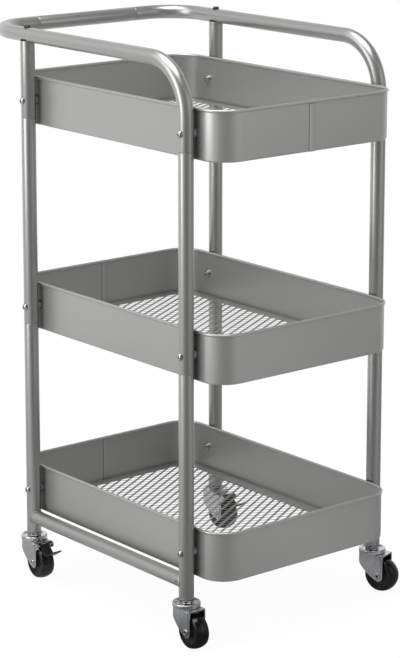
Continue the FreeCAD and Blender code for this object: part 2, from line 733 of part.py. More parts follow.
# Baskets. A sheet band with a rolled rim and an inward lip, and a mesh floor on the lip.
def basket_wall(screw_height, lap_side):
    """Sheet band with rim, lip, screw holes and the lap of the sheet's two ends."""
    length = cell("basket_length")
    depth = cell("basket_depth")
    radius = cell("basket_corner_radius")
    sheet_wall = cell("sheet_thickness")
    low = screw_height - cell("basket_below_screw")
    bead = cell("rim_bead_radius")
    bead_height = screw_height + cell("basket_above_screw") - bead

    def outline(inset, height):
        return rounded_rectangle(
            length - 2 * inset, depth - 2 * inset, radius - inset, height)

    wall = band(outline(0, low), outline(sheet_wall, low), bead_height - low)
    lip_width = sheet_wall + cell("floor_lip_width")
    lip = band(outline(0, low), outline(lip_width, low), sheet_wall)
    rim = pipe(outline(sheet_wall / 2, bead_height), bead)
    lap_start = lap_side * length / 2 - (sheet_wall if lap_side > 0 else 0)
    lap = Part.makeBox(2 * sheet_wall, cell("lap_width"), bead_height - low,
                       Vector(lap_start, -cell("lap_width") / 2, low))
    solid = wall.fuse([lip, rim, lap]).removeSplitter()
    span = depth + 2 * cell("overrun")
    for side_x in (-1, 1):
        spot = Vector(side_x * cell("half_spacing_x"), -span / 2, screw_height)
        solid = solid.cut(Part.makeCylinder(cell("screw_hole_radius"), span, spot, Y_AXIS))
    return solid


def gap_outline(x, y, half_x, half_y, height):
    """Diamond opening of the mesh."""
    return Part.makePolygon([
        Vector(x - half_x, y, height),
        Vector(x, y - half_y, height),
        Vector(x + half_x, y, height),
        Vector(x, y + half_y, height),
        Vector(x - half_x, y, height),
    ])


def mesh_floor(screw_height):
    """Sheet with rows of diamond openings, every second row set off by half a pitch."""
    inset = 2 * cell("sheet_thickness") + cell("mesh_clearance")
    low = screw_height - cell("basket_below_screw") + cell("sheet_thickness")
    length = cell("basket_length") - 2 * inset
    depth = cell("basket_depth") - 2 * inset
    corner = cell("basket_corner_radius") - inset
    pitch_x = cell("gap_pitch_x")
    pitch_y = cell("gap_pitch_y")
    side = math.hypot(pitch_x / 2, pitch_y / 2)
    shrink = 1 - cell("strand_width") * side / (pitch_x * pitch_y / 2)
    half_x = pitch_x / 2 * shrink
    half_y = pitch_y / 2 * shrink
    reach_x = length / 2 - cell("mesh_margin") - half_x
    reach_y = depth / 2 - cell("mesh_margin") - half_y
    corner_x = length / 2 - corner
    corner_y = depth / 2 - corner
    free = corner - cell("mesh_margin")
    wires = [rounded_rectangle(length, depth, corner, low)]
    columns = int(reach_x // (pitch_x / 2))
    rows = int(reach_y // (pitch_y / 2))
    for i in range(-columns, columns + 1):
        for j in range(-rows, rows + 1):
            x = i * pitch_x / 2
            y = j * pitch_y / 2
            beyond = math.hypot(
                max(abs(x) + half_x / 2 - corner_x, 0), max(abs(y) + half_y / 2 - corner_y, 0))
            if (i + j) % 2 == 0 and beyond < free:
                wires.append(gap_outline(x, y, half_x, half_y, low))
    face = Part.makeFace(wires, "Part::FaceMakerBullseye")
    return face.extrude(Z_AXIS * cell("mesh_thickness")), len(wires) - 1


def build_baskets():
    """Wall and floor of each basket."""
    for tier, height, lap_side in TIERS:
        feature("basket_wall_" + tier, basket_wall(cell(height), lap_side))
        floor, gaps = mesh_floor(cell(height))
        feature("basket_floor_" + tier, floor)
        print("basket_floor_%s: %d openings" % (tier, gaps))


# Fasteners. Screws run inwards along Y through post, spacer, wall, washer and nut.
def pan_screw(name, length):
    """Pan-head screw pointing up along Z, with the head's underside at the origin."""
    screw = turned(name, [
        (None, "drive_low"),
        ("drive_radius", "drive_low"),
        ("drive_radius", "head_low"),
        ("head_radius", "head_low"),
        ("head_radius", None),
        ("screw_radius", None),
        ("screw_radius", length),
        (None, length),
    ])
    round_edges(
        screw, name + "_dome", "screw_head_round",
        lambda e: is_circle(e, "head_radius") and e.CenterOfMass.z < cell("head_low") / 2)
    return screw


def along_y(x, y, z, side):
    """Placement that turns +Z inwards, towards the trolley's middle, at a place."""
    return Placement(Vector(x, y, z), Rotation(X_AXIS, side * RIGHT_ANGLE))


def basket_places(distance):
    """Placements at all twelve screws, at a distance from the posts' outer face inwards."""
    places = []
    for tier, height, lap_side in TIERS:
        for corner, side_x, side_y in CORNERS:
            y = side_y * (cell("half_spacing_y") + cell("tube_radius") - distance)
            places.append(along_y(side_x * cell("half_spacing_x"), y, cell(height), side_y))
    return places


def build_basket_fasteners():
    """Screws, saddle spacers, washers and nuts of the baskets."""
    group("basket_screws", pan_screw("basket_screw_form", "basket_screw_length"),
          basket_places(0.0))
    blank = ring("spacer_blank", "spacer_radius", "screw_hole_radius", "spacer_length")
    post = doc.addObject("Part::Cylinder", "spacer_saddle")
    bind(post, "Radius", "saddle_radius")
    post.setExpression("Height", "2 * Sizes.spacer_diameter")
    post.Placement = Placement(
        Vector(0, -cell("spacer_diameter"), 0), Rotation(X_AXIS, -RIGHT_ANGLE))
    spacer = doc.addObject("Part::Cut", "spacer_form")
    spacer.Base = blank
    spacer.Tool = post
    doc.recompute()
    group("basket_spacers", spacer, basket_places(cell("tube_radius")))
    at_wall = cell("tube_radius") + cell("spacer_length") + cell("sheet_thickness")
    washer = ring("basket_washer_form", "washer_radius", "screw_hole_radius",
                  "washer_thickness")
    group("basket_washers", washer, basket_places(at_wall))
    nut = hex_nut("basket_nut_form", "nut_flats", "nut_height", "seat_radius")
    group("basket_nuts", nut, basket_places(at_wall + cell("washer_thickness")))


def build_handle_fasteners():
    """Screw down through each rail into a threaded plug in the short post below it."""
    downwards = Rotation(X_AXIS, HALF_TURN)
    x = -cell("half_spacing_x")
    top = cell("handle_axis_height") + cell("tube_radius")
    sides = [side * cell("half_spacing_y") for side in (-1, 1)]
    group("handle_screws", pan_screw("handle_screw_form", "handle_screw_length"),
          [Placement(Vector(x, y, top), downwards) for y in sides])
    plug = ring("handle_insert_form", "insert_radius", "seat_radius", "handle_insert_length")
    low = cell("short_post_top") - cell("handle_insert_drop") - cell("handle_insert_length")
    group("handle_inserts", plug, [Placement(Vector(x, y, low), Rotation()) for y in sides])


# Castors. Each is built about its own stem, trailing towards +X, and then turned to its rest.
def castor_fork(name, braked):
    """Pressed fork: top plate, rounded front and two cheeks that taper to the axle."""
    body = new_body(name)
    plan = new_sketch(body, name + "_plan", "XY_Plane")
    draw_outline(plan, [
        ("fork_front", "fork_low_half", None),
        ("fork_back", "fork_low_half", None),
        ("fork_back", "fork_half", None),
        ("fork_front", "fork_half", ("fork_front_radius", 1)),
    ])
    pad = body.newObject("PartDesign::Pad", name + "_block")
    pad.Profile = plan
    bind(pad, "Length", "fork_top_height")
    body.Tip = pad
    doc.recompute()
    pad_across(body, name + "_ribs", "rib_width", [
        ("rib_front", "wheel_radius", ("rib_radius", 1, "DistanceY", "wheel_radius")),
        ("rib_back", "wheel_radius", None),
        ("rib_back", "rib_top", ("rib_radius", 1, "DistanceY", "rib_top")),
        ("rib_front", "rib_top", None),
    ])
    before = body.Shape.Volume
    hollow_plan = new_sketch(body, name + "_hollow_plan", "XY_Plane")
    draw_outline(hollow_plan, [
        ("fork_inner_front", "fork_gap_low", None),
        ("fork_inner_back", "fork_gap_low", None),
        ("fork_inner_back", "fork_gap_half", None),
        ("fork_inner_front", "fork_gap_half", ("fork_inner_radius", 1)),
    ])
    hollow = body.newObject("PartDesign::Pocket", name + "_hollow")
    hollow.Profile = hollow_plan
    hollow.Reversed = True
    bind(hollow, "Length", "fork_plate_low")
    body.Tip = hollow
    doc.recompute()
    check_cut(name + "_hollow", before, body.Shape.Volume)
    before = body.Shape.Volume
    side_view = new_sketch(body, name + "_side_view", "XZ_Plane")
    draw_outline(side_view, [
        ("fork_cut_far", "fork_lip_low", None),
        ("fork_cut_front", "fork_lip_low", ("fork_sweep_radius", 1)),
        ("castor_trail", "fork_tip_low", ("fork_tip_radius", 1)),
        ("fork_back", "wheel_radius", None),
        ("fork_cut_back", "wheel_radius", None),
        ("fork_cut_back", "fork_cut_low", None),
        ("fork_cut_far", "fork_cut_low", None),
    ])
    trim = body.newObject("PartDesign::Pocket", name + "_taper")
    trim.Profile = side_view
    trim.Type = "ThroughAll"
    trim.Midplane = True
    body.Tip = trim
    doc.recompute()
    check_cut(name + "_taper", before, body.Shape.Volume)
    if braked:
        add_ears(body, name)
    cut_through(body, name + "_axle_hole", "XZ_Plane", [
        ("castor_trail", "wheel_radius", "axle_hole_radius")])
    cut_through(body, name + "_stem_hole", "XY_Plane", [(None, None, "fork_pin_hole")])
    groove_ring(body, name + "_race", "ball_circle_radius", "ball_height", "groove_radius")
    return body


def pad_across(body, name, width, outline):
    """Add an outline in the XZ plane, padded to a width across it."""
    sketch = new_sketch(body, name + "_sketch", "XZ_Plane")
    draw_outline(sketch, outline)
    pad = body.newObject("PartDesign::Pad", name)
    pad.Profile = sketch
    pad.Midplane = True
    bind(pad, "Length", width)
    body.Tip = pad
    doc.recompute()


def add_ears(body, name):
    """Ears at the back of the cheeks, with a hole for the pedal's pin."""
    pad_across(body, name + "_ears", "fork_width", [
        ("castor_trail", "brake_ear_low", None),
        ("brake_pin_back", "brake_ear_low",
         ("brake_ear_radius", 1, "DistanceX", "brake_pin_back")),
        ("brake_pin_back", "fork_top_height", None),
        ("castor_trail", "fork_top_height", None),
    ])
    before = body.Shape.Volume
    room = new_sketch(body, name + "_ear_room_profile", "XZ_Plane")
    draw_outline(room, [
        ("castor_trail", "fork_cut_low", None),
        ("brake_cut_back", "fork_cut_low", None),
        ("brake_cut_back", "castor_height", None),
        ("fork_back", "castor_height", None),
        ("fork_back", "fork_plate_low", None),
        ("castor_trail", "fork_plate_low", None),
    ])
    pocket = body.newObject("PartDesign::Pocket", name + "_ear_room")
    pocket.Profile = room
    pocket.Midplane = True
    bind(pocket, "Length", "fork_gap")
    body.Tip = pocket
    doc.recompute()
    check_cut(name + "_ear_room", before, body.Shape.Volume)
    cut_through(body, name + "_pin_hole", "XZ_Plane", [
        ("brake_pin_back", "brake_pin_height", "brake_seat_radius")])


def castor_stem(name):
    """Stem with its head under the fork's plate."""
    return turned(name, [
        (None, "kingpin_head_low"),
        ("kingpin_head_radius", "kingpin_head_low"),
        ("kingpin_head_radius", "kingpin_head_top"),
        ("kingpin_radius", "kingpin_head_top"),
        ("kingpin_radius", "kingpin_shoulder"),
        ("kingpin_tip_radius", "kingpin_top"),
        (None, "kingpin_top"),
    ])


def castor_raceway(name):
    """Dished ring over the fork's plate, with a groove for the balls."""
    body = turned(name, [
        ("cap_bore_radius", "cap_race_low"),
        ("cap_skirt_radius", "cap_race_low"),
        ("cap_skirt_radius", "cap_skirt_low"),
        ("cap_radius", "cap_skirt_low"),
        ("cap_radius", "cap_edge_low"),
        ("cap_edge_radius", "cap_top"),
        ("cap_dish_edge", "cap_top"),
        ("cap_dish_radius", "cap_dish_low"),
        ("cap_bore_radius", "cap_dish_low"),
    ])
    groove_ring(body, name + "_race", "ball_circle_radius", "ball_height", "groove_radius")
    return body


def castor_axle(name):
    """Hollow rivet, upset at both ends."""
    return turned(name, [
        ("axle_bore_radius", "rivet_low_end"),
        ("rivet_head_radius", "rivet_low_end"),
        ("rivet_head_radius", "rib_low_half"),
        ("axle_radius", "rib_low_half"),
        ("axle_radius", "rib_half"),
        ("rivet_head_radius", "rib_half"),
        ("rivet_head_radius", "rivet_end"),
        ("axle_bore_radius", "rivet_end"),
    ])


def wheel_core(name):
    """Hub, web and rim in one."""
    return turned(name, [
        ("hub_bore_radius", "hub_low"),
        ("hub_radius", "hub_low"),
        ("hub_radius", "core_web_low"),
        ("core_rim_bore", "core_web_low"),
        ("core_rim_bore", "core_rim_low"),
        ("core_radius", "core_rim_low"),
        ("core_radius", "core_rim_half"),
        ("core_rim_bore", "core_rim_half"),
        ("core_rim_bore", "core_web_half"),
        ("hub_radius", "core_web_half"),
        ("hub_radius", "hub_half"),
        ("hub_bore_radius", "hub_half"),
    ])


def wheel_tyre(name):
    """Tyre with rounded shoulders."""
    tyre = turned(name, [
        ("tyre_bore_radius", "tyre_low"),
        ("wheel_radius", "tyre_low"),
        ("wheel_radius", "tyre_half"),
        ("tyre_bore_radius", "tyre_half"),
    ])
    round_edges(tyre, name + "_shoulders", "tyre_shoulder",
                lambda e: is_circle(e, "wheel_radius"))
    return tyre


def brake_pedal():
    """Bent strip with an eye at the pin, seen from the stem's axis in XZ."""
    width = cell("brake_width")
    sheet_wall = cell("brake_sheet")
    pin, knee, tip = pedal_points()
    path = bent_path([pin, knee, tip], [cell("brake_knee_radius")])
    along = (knee - pin).normalize()
    across = Vector(-along.z, 0, along.x)
    corners = []
    for flat, wide in ((-1, -1), (1, -1), (1, 1), (-1, 1), (-1, -1)):
        corners.append(pin + across * (flat * sheet_wall / 2) + Y_AXIS * (wide * width / 2))
    strip = path.makePipeShell([Part.makePolygon(corners)], True, False)
    upright = []
    for edge in strip.Edges:
        at_tip = edge.CenterOfMass.distanceToPoint(tip) < width
        if at_tip and abs(edge.Length - sheet_wall) < cell("seat_clearance"):
            upright.append(edge)
    strip = strip.makeFillet(cell("brake_tip_round"), upright)
    eye = Part.makeCylinder(
        cell("brake_eye_radius"), width, pin - Y_AXIS * (width / 2), Y_AXIS)
    hole = Part.makeCylinder(
        cell("brake_hole_radius"), 2 * width, pin - Y_AXIS * width, Y_AXIS)
    return strip.fuse(eye).removeSplitter().cut(hole)


def brake_pin_shape():
    """Plain pin across the fork's ears."""
    half = cell("brake_pin_half")
    start = Vector(cell("brake_pin_back"), -half, cell("brake_pin_height"))
    return Part.makeCylinder(cell("brake_pin_radius"), 2 * half, start, Y_AXIS)


def build_castors():
    """Four castors, each turned to its own rest, with the fixed pieces grouped by kind."""
    upright = []
    ball_places = []
    for corner, side_x, side_y in CORNERS:
        x = side_x * cell("half_spacing_x")
        y = side_y * cell("half_spacing_y")
        turn = Rotation(Z_AXIS, REST_TURN[corner])
        braked = corner in BRAKED
        fork = keep("castor_%s_fork" % corner, castor_fork("castor_%s_fork" % corner, braked))
        move(fork, x, y, 0, turn)
        stem_name = "castor_%s_stem" % corner
        move(keep(stem_name, castor_stem(stem_name)), x, y)
        race_name = "castor_%s_raceway" % corner
        move(keep(race_name, castor_raceway(race_name)), x, y)
        hub = Vector(cell("castor_trail"), 0, cell("wheel_radius"))
        hub_place = turn.multVec(hub) + Vector(x, y, 0)
        across = turn.multiply(Rotation(X_AXIS, RIGHT_ANGLE))
        for kind, make in (("axle", castor_axle), ("wheel", wheel_core), ("tyre", wheel_tyre)):
            name = "castor_%s_%s" % (corner, kind)
            move(keep(name, make(name)), hub_place.x, hub_place.y, hub_place.z, across)
        if braked:
            for kind, make in (("pedal", brake_pedal), ("pedal_pin", brake_pin_shape)):
                node = feature("castor_%s_%s" % (corner, kind), make())
                move(node, x, y, 0, turn)
        upright.append((x, y))
        for i in range(BALLS_PER_CASTOR):
            angle = math.radians(FULL_TURN * i / BALLS_PER_CASTOR)
            ball_places.append(Placement(Vector(
                x + cell("ball_circle_radius") * math.cos(angle),
                y + cell("ball_circle_radius") * math.sin(angle),
                cell("ball_height")), Rotation()))
    ball = doc.addObject("Part::Sphere", "castor_ball_form")
    bind(ball, "Radius", "ball_radius")
    doc.recompute()
    group("castor_balls", ball, ball_places)
    nut = hex_nut("castor_nut_form", "castor_nut_flats", "castor_nut_height",
                  "cap_bore_radius")
    group("castor_nuts", nut,
          [Placement(Vector(x, y, cell("cap_dish_low")), Rotation()) for x, y in upright])
    socket = ring("castor_socket_form", "insert_radius", "cap_bore_radius", "socket_length")
    group("castor_sockets", socket,
          [Placement(Vector(x, y, cell("castor_height")), Rotation()) for x, y in upright])


def check_document():
    """Stop where an object failed or a sub-part has no valid solid."""
    doc.recompute()
    for thing in doc.Objects:
        if "Invalid" in thing.State or "Error" in thing.State:
            raise RuntimeError(thing.Name + " failed")
    for name, thing in parts.items():
        shape = thing.Shape
        if shape.isNull() or not shape.isValid() or not shape.Solids:
            raise RuntimeError(name + " has no valid shape")


build_posts()
build_handle()
build_base_rails()
build_baskets()
build_basket_fasteners()
build_handle_fasteners()
build_castors()
check_document()

os.makedirs("parts", exist_ok=True)
for name, thing in parts.items():
    thing.Shape.exportStep("parts/%s.step" % name)
print("%d sub-parts written" % len(parts))
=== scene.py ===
import math

import bmesh
import bpy
import numpy as np
from bpy.props import FloatProperty, FloatVectorProperty, PointerProperty
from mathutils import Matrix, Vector


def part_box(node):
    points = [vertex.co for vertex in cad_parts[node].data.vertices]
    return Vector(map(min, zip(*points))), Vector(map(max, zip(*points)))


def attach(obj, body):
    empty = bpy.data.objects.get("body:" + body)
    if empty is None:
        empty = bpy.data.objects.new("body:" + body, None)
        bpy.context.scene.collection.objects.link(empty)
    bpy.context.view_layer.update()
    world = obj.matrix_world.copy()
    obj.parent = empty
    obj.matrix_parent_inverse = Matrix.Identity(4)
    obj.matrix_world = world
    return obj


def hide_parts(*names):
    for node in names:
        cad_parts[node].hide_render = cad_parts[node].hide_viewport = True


bl_info = {
    "name": "Utility trolley",
    "version": (1, 0, 0),
    "blender": (4, 5, 0),
    "location": "3D View > Sidebar > Trolley",
    "description": "Three-tier rolling trolley of painted steel tube, sheet and mesh",
    "category": "Object",
}

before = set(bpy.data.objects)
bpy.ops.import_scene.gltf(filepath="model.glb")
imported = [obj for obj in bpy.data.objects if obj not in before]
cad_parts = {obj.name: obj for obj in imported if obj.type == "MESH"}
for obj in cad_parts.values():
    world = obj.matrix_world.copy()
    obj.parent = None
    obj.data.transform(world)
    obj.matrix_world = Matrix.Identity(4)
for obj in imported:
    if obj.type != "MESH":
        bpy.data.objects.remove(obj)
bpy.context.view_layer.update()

MM = 0.001
SIDES = {
    "front_left": (-1, -1),
    "front_right": (1, -1),
    "back_right": (1, 1),
    "back_left": (-1, 1),
}
TIERS = ("lower", "middle", "upper")
LAP_SIDE = {"lower": -1, "middle": -1, "upper": 1}
QUARTER = math.pi / 2
TURN = 2 * math.pi
IMAGE_HEIGHT = 658
SENSOR = 36.0
# Focal length and vertical shift of the camera, in pixels of the picture.
FOCAL_PIXELS = 2432.0
SHIFT_PIXELS = -130.0
# Room between the mesh sheet's edge and a lap on the inside of its wall.
MESH_ROOM = 0.4 * MM
RIGHT, DEEP, UP = np.eye(3)


# Shapes. All of them are arrays of points in metres.
def middle_of(node):
    """Middle of a node's box at rest."""
    low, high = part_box(node)
    return np.array((low + high) / 2)


def skin(points, closed_rows=False, closed_columns=True):
    """Points and quads of a grid (rows, columns, 3): each point joins the next one of its row
    and of its column, and a closed direction joins its last line to its first."""
    rows, columns = points.shape[:2]
    i = np.arange(rows if closed_rows else rows - 1)[:, None]
    j = np.arange(columns if closed_columns else columns - 1)[None, :]
    here = i * columns + j
    beside = i * columns + (j + 1) % columns
    above = (i + 1) % rows * columns
    quads = np.stack([here, beside, above + (j + 1) % columns, above + j], axis=-1)
    return points.reshape(-1, 3), quads.reshape(-1, 4)


def rounded(corners, steps=5):
    """Outline through corners (across, up, radius). A circle that touches both sides of a
    corner replaces it, and its points are spread evenly over the arc."""
    corners = np.asarray(corners, float)
    spot, radius = corners[:, :2], corners[:, 2]
    back = np.roll(spot, 1, axis=0) - spot
    ahead = np.roll(spot, -1, axis=0) - spot
    back /= np.linalg.norm(back, axis=1)[:, None]
    ahead /= np.linalg.norm(ahead, axis=1)[:, None]
    half = np.arccos(np.clip((back * ahead).sum(axis=1), -1, 1)) / 2
    inward = back + ahead
    inward /= np.linalg.norm(inward, axis=1)[:, None]
    centre = spot + inward * (radius / np.sin(half))[:, None]
    reach = (radius / np.tan(half))[:, None]
    first = spot + back * reach - centre
    last = spot + ahead * reach - centre
    sweep = (math.pi - 2 * half)[:, None, None]
    part = np.linspace(0, 1, steps)[None, :, None]
    arc = np.sin((1 - part) * sweep) * first[:, None] + np.sin(part * sweep) * last[:, None]
    return (centre[:, None] + arc / np.sin(sweep)).reshape(-1, 2)


def around(axis):
    """Two directions at right angles to an axis and to each other, right-handed with it."""
    axis = np.asarray(axis, float) / np.linalg.norm(axis)
    side = np.cross(axis, UP if abs(axis[2]) < 0.9 else RIGHT)
    side /= np.linalg.norm(side)
    return side, np.cross(axis, side), axis


def turned(outline, origin=(0, 0, 0), axis=UP, segments=48):
    """Outline of (radius, height) carried round an axis: origin + height along the axis +
    radius times the cosine and sine of the turn."""
    side, other, axis = around(axis)
    angle = np.linspace(0, TURN, segments, endpoint=False)
    spoke = np.cos(angle)[:, None] * side + np.sin(angle)[:, None] * other
    outline = np.asarray(outline, float)
    return (np.asarray(origin) + outline[:, 0, None, None] * spoke[None]
            + outline[:, 1, None, None] * axis)


def follow(start, heading, legs, stations):
    """Places and headings along runs and bends. On a run the place moves along the heading;
    on a bend (length, radius, towards) it turns about the bend's centre by length / radius."""
    place = np.zeros((len(stations), 3))
    ahead = np.zeros((len(stations), 3))
    origin, heading = np.array(start, float), np.array(heading, float)
    begin = 0.0
    for length, radius, towards in legs:
        step = np.clip(stations - begin, 0, length)[:, None]
        on = stations >= begin - MM * MM
        if radius:
            towards = np.array(towards, float)
            angle = step / radius
            here = origin + radius * (np.sin(angle) * heading + (1 - np.cos(angle)) * towards)
            course = np.cos(angle) * heading + np.sin(angle) * towards
        else:
            here = origin + step * heading
            course = np.repeat(heading[None], len(stations), axis=0)
        place[on], ahead[on] = here[on], course[on]
        origin, heading = here[-1], course[-1]
        begin += length
    return place, ahead


def bent_tube(start, heading, legs, side, radius, wall, edge, segments=56):
    """Closed skin of a tube along runs and bends: rings of the outer radius one way, rounded
    over the cut ends, and rings of the bore back. Every ring stands square to the heading."""
    total = sum(leg[0] for leg in legs)
    ends = np.cumsum([0.0] + [leg[0] for leg in legs])
    inner = [np.linspace(a, b, 25 if leg[1] else 2)
             for a, b, leg in zip(ends[:-1], ends[1:], legs)]
    stations = np.unique(np.round(np.concatenate(inner), 9))[1:-1]
    lip = np.linspace(0, QUARTER, 5)
    rise = edge * (1 - np.cos(lip))
    drop = edge * (1 - np.sin(lip))
    away = np.concatenate([
        rise, stations, total - rise[::-1], [total], stations[::-1], [0.0]])
    reach = np.concatenate([
        radius - drop, np.full(len(stations), radius), radius - drop[::-1],
        np.full(len(stations) + 2, radius - wall)])
    order = np.argsort(away, kind="stable")
    place, ahead = np.empty((len(away), 3)), np.empty((len(away), 3))
    place[order], ahead[order] = follow(start, heading, legs, away[order])
    side = np.asarray(side, float)
    level = side - (ahead @ side)[:, None] * ahead
    short = np.linalg.norm(level, axis=1) < 0.5
    level[short] = np.cross(ahead[short], UP)
    level /= np.linalg.norm(level, axis=1)[:, None]
    other = np.cross(ahead, level)
    angle = np.linspace(0, TURN, segments, endpoint=False)
    return (place[:, None] + reach[:, None, None] * (
        np.cos(angle)[None, :, None] * level[:, None]
        + np.sin(angle)[None, :, None] * other[:, None]))


def round_band(outline, half_x, half_y, corner, middle, steps=12):
    """Outline of (inset, height) carried round a rectangle with rounded corners: corner centre
    + (corner radius - inset) times the direction, for directions all the way round."""
    angle = (np.arange(4)[:, None] * QUARTER + np.linspace(0, QUARTER, steps)).ravel()
    quarter = np.repeat(np.arange(4), steps)
    sign_x = np.where((quarter == 0) | (quarter == 3), 1, -1)
    sign_y = np.where(quarter < 2, 1, -1)
    centre = np.stack([sign_x * (half_x - corner), sign_y * (half_y - corner)], axis=-1)
    out = np.stack([np.cos(angle), np.sin(angle)], axis=-1)
    outline = np.asarray(outline, float)
    flat = centre[None] + (corner - outline[:, 0, None, None]) * out[None]
    height = np.broadcast_to(outline[:, 1, None, None], flat.shape[:2] + (1,))
    return np.concatenate([flat, height], axis=-1) + np.asarray(middle)


def make_piece(name, skins, body, slot, nodes=(), crease=35.0, finish=None):
    """Mesh object of several closed skins, with doubles merged and faces pointing outwards,
    that rides on a body and stands for CAD nodes. Its finish is its slot's, unless another
    is named."""
    points, faces, start = [], [], 0
    for spots, quads in skins:
        points.append(spots)
        faces.append(quads + start)
        start += len(spots)
    mesh = bpy.data.meshes.new(name)
    mesh.from_pydata(np.concatenate(points).tolist(), [], np.concatenate(faces).tolist())
    tidy = bmesh.new()
    tidy.from_mesh(mesh)
    bmesh.ops.remove_doubles(tidy, verts=tidy.verts, dist=MM * 0.0005)
    bmesh.ops.dissolve_degenerate(tidy, edges=tidy.edges, dist=MM * 0.0002)
    bmesh.ops.recalc_face_normals(tidy, faces=tidy.faces)
    tidy.to_mesh(mesh)
    tidy.free()
    mesh.shade_smooth()
    mesh.set_sharp_from_angle(angle=math.radians(crease))
    piece = bpy.data.objects.new(name, mesh)
    bpy.context.scene.collection.objects.link(piece)
    mesh.materials.append(FINISHES[finish or slot])
    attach(piece, body)
    if nodes:
        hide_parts(*nodes)
    return piece


# Finishes.
def linear(code):
    """Linear colour of an sRGB hex value such as 9A9A98."""
    value = np.array([int(code[i:i + 2], 16) for i in (0, 2, 4)]) / 255
    curve = np.where(value <= 0.04045, value / 12.92, ((value + 0.055) / 1.055) ** 2.4)
    return tuple(float(v) for v in curve) + (1.0,)


def add_node(tree, kind, inputs=None, **settings):
    """New node with its settings; an input is a value or another node's output."""
    node = tree.nodes.new(kind)
    for key, value in settings.items():
        setattr(node, key, value)
    for socket, value in (inputs or {}).items():
        if isinstance(value, bpy.types.NodeSocket):
            tree.links.new(value, node.inputs[socket])
        else:
            node.inputs[socket].default_value = value
    return node


def new_finish(name):
    """Empty material with its shader and its object coordinates."""
    finish = bpy.data.materials.new(name)
    finish.use_nodes = True
    tree = finish.node_tree
    tree.nodes.clear()
    shader = add_node(tree, "ShaderNodeBsdfPrincipled")
    add_node(tree, "ShaderNodeOutputMaterial", {"Surface": shader.outputs[0]})
    place = add_node(tree, "ShaderNodeTexCoord").outputs["Object"]
    return finish, tree, shader, place


def mottle(tree, place, size, low, high, detail=2.0):
    """Noise with features of a size in metres, spread between two values."""
    noise = add_node(tree, "ShaderNodeTexNoise", {
        "Vector": place, "Scale": 1 / size, "Detail": detail, "Roughness": 0.55})
    spread = add_node(tree, "ShaderNodeMapRange", {
        "Value": noise.outputs[0], "From Min": 0.3, "From Max": 0.7,
        "To Min": low, "To Max": high})
    return spread.outputs[0]


def shaded(tree, colour, factor):
    """Colour times a factor."""
    mix = add_node(tree, "ShaderNodeVectorMath", {
        0: tuple(colour[:3]), 1: (1, 1, 1)}, operation="MULTIPLY")
    tree.links.new(factor, mix.inputs[1])
    return mix.outputs[0]


def bumped(tree, height, depth, strength):
    """Bump of a height pattern that is depth metres deep."""
    return add_node(tree, "ShaderNodeBump", {
        "Height": height, "Distance": depth, "Strength": strength}).outputs[0]


# Painted shade in narrow gaps: how near another surface must be for the paint's colour to be
# darkened, and the share of that colour left there.
GAP_SHADE_REACH = 11 * MM
GAP_SHADE_SHARE = 0.12


def powder_coat(name, colour, metallic, roughness):
    """Powder coat with aluminium flake, sprayed and baked: an even satin grey whose tiny flakes
    sparkle, with the faint orange peel of the flowed powder. Its colour is darkened in narrow
    gaps as painted shade."""
    finish, tree, shader, place = new_finish(name)
    flake = mottle(tree, place, 0.5 * MM, 0.97, 1.03)
    # Painted shade: in narrow gaps between the pieces the paint's colour itself is darkened, so
    # that they read nearly black.
    open_sky = add_node(tree, "ShaderNodeAmbientOcclusion", {"Distance": GAP_SHADE_REACH}, samples=8)
    gap = add_node(tree, "ShaderNodeMapRange", {
        "Value": open_sky.outputs["AO"], "From Min": 0.2, "From Max": 0.75,
        "To Min": GAP_SHADE_SHARE, "To Max": 1.0})
    both = add_node(tree, "ShaderNodeMath", {0: flake, 1: gap.outputs["Result"]},
                    operation="MULTIPLY")
    tree.links.new(shaded(tree, colour, both.outputs[0]), shader.inputs["Base Color"])
    gloss = mottle(tree, place, 2 * MM, roughness - 0.015, roughness + 0.015)
    tree.links.new(gloss, shader.inputs["Roughness"])
    peel = mottle(tree, place, 2.5 * MM, 0, 1, detail=0.0)
    tree.links.new(bumped(tree, peel, 0.005 * MM, 0.2), shader.inputs["Normal"])
    shader.inputs["Metallic"].default_value = metallic
    return finish


def zinc_plate(name, colour, roughness):
    """Bright zinc plate on pressed steel: nearly white metal, slightly cloudy, with fine
    lines from the pressing."""
    finish, tree, shader, place = new_finish(name)
    cloud = mottle(tree, place, 5 * MM, 0.9, 1.05, detail=4.0)
    tree.links.new(shaded(tree, colour, cloud), shader.inputs["Base Color"])
    tree.links.new(
        mottle(tree, place, 1.2 * MM, roughness - 0.06, roughness + 0.08, detail=4.0),
        shader.inputs["Roughness"])
    grain = mottle(tree, place, 0.8 * MM, 0, 1, detail=3.0)
    tree.links.new(bumped(tree, grain, 0.01 * MM, 0.2), shader.inputs["Normal"])
    shader.inputs["Metallic"].default_value = 1.0
    return finish


def moulded(name, colour, roughness, grain_size):
    """Moulded plastic or rubber: one deep colour with a fine even grain from the mould."""
    finish, tree, shader, place = new_finish(name)
    tree.links.new(
        shaded(tree, colour, mottle(tree, place, 12 * MM, 0.85, 1.15)),
        shader.inputs["Base Color"])
    tree.links.new(
        mottle(tree, place, 3 * MM, roughness - 0.05, roughness + 0.06),
        shader.inputs["Roughness"])
    grain = mottle(tree, place, grain_size, 0, 1)
    tree.links.new(bumped(tree, grain, 0.02 * MM, 0.3), shader.inputs["Normal"])
    return finish


# How bright the studio is in gloss towards each azimuth, degrees. The levels were chosen for the
# streaks on the tubes: bright at the left, dark beside the camera.
ROOM = ((-180, 0.6), (-140, 0.8), (-100, 1.0), (-68, 1.0), (-46, 0.55), (-15, 0.85), (15, 0.55),
        (38, 0.15), (65, 0.08), (88, 0.3), (112, 0.5), (135, 0.24), (158, 0.3), (180, 0.6))


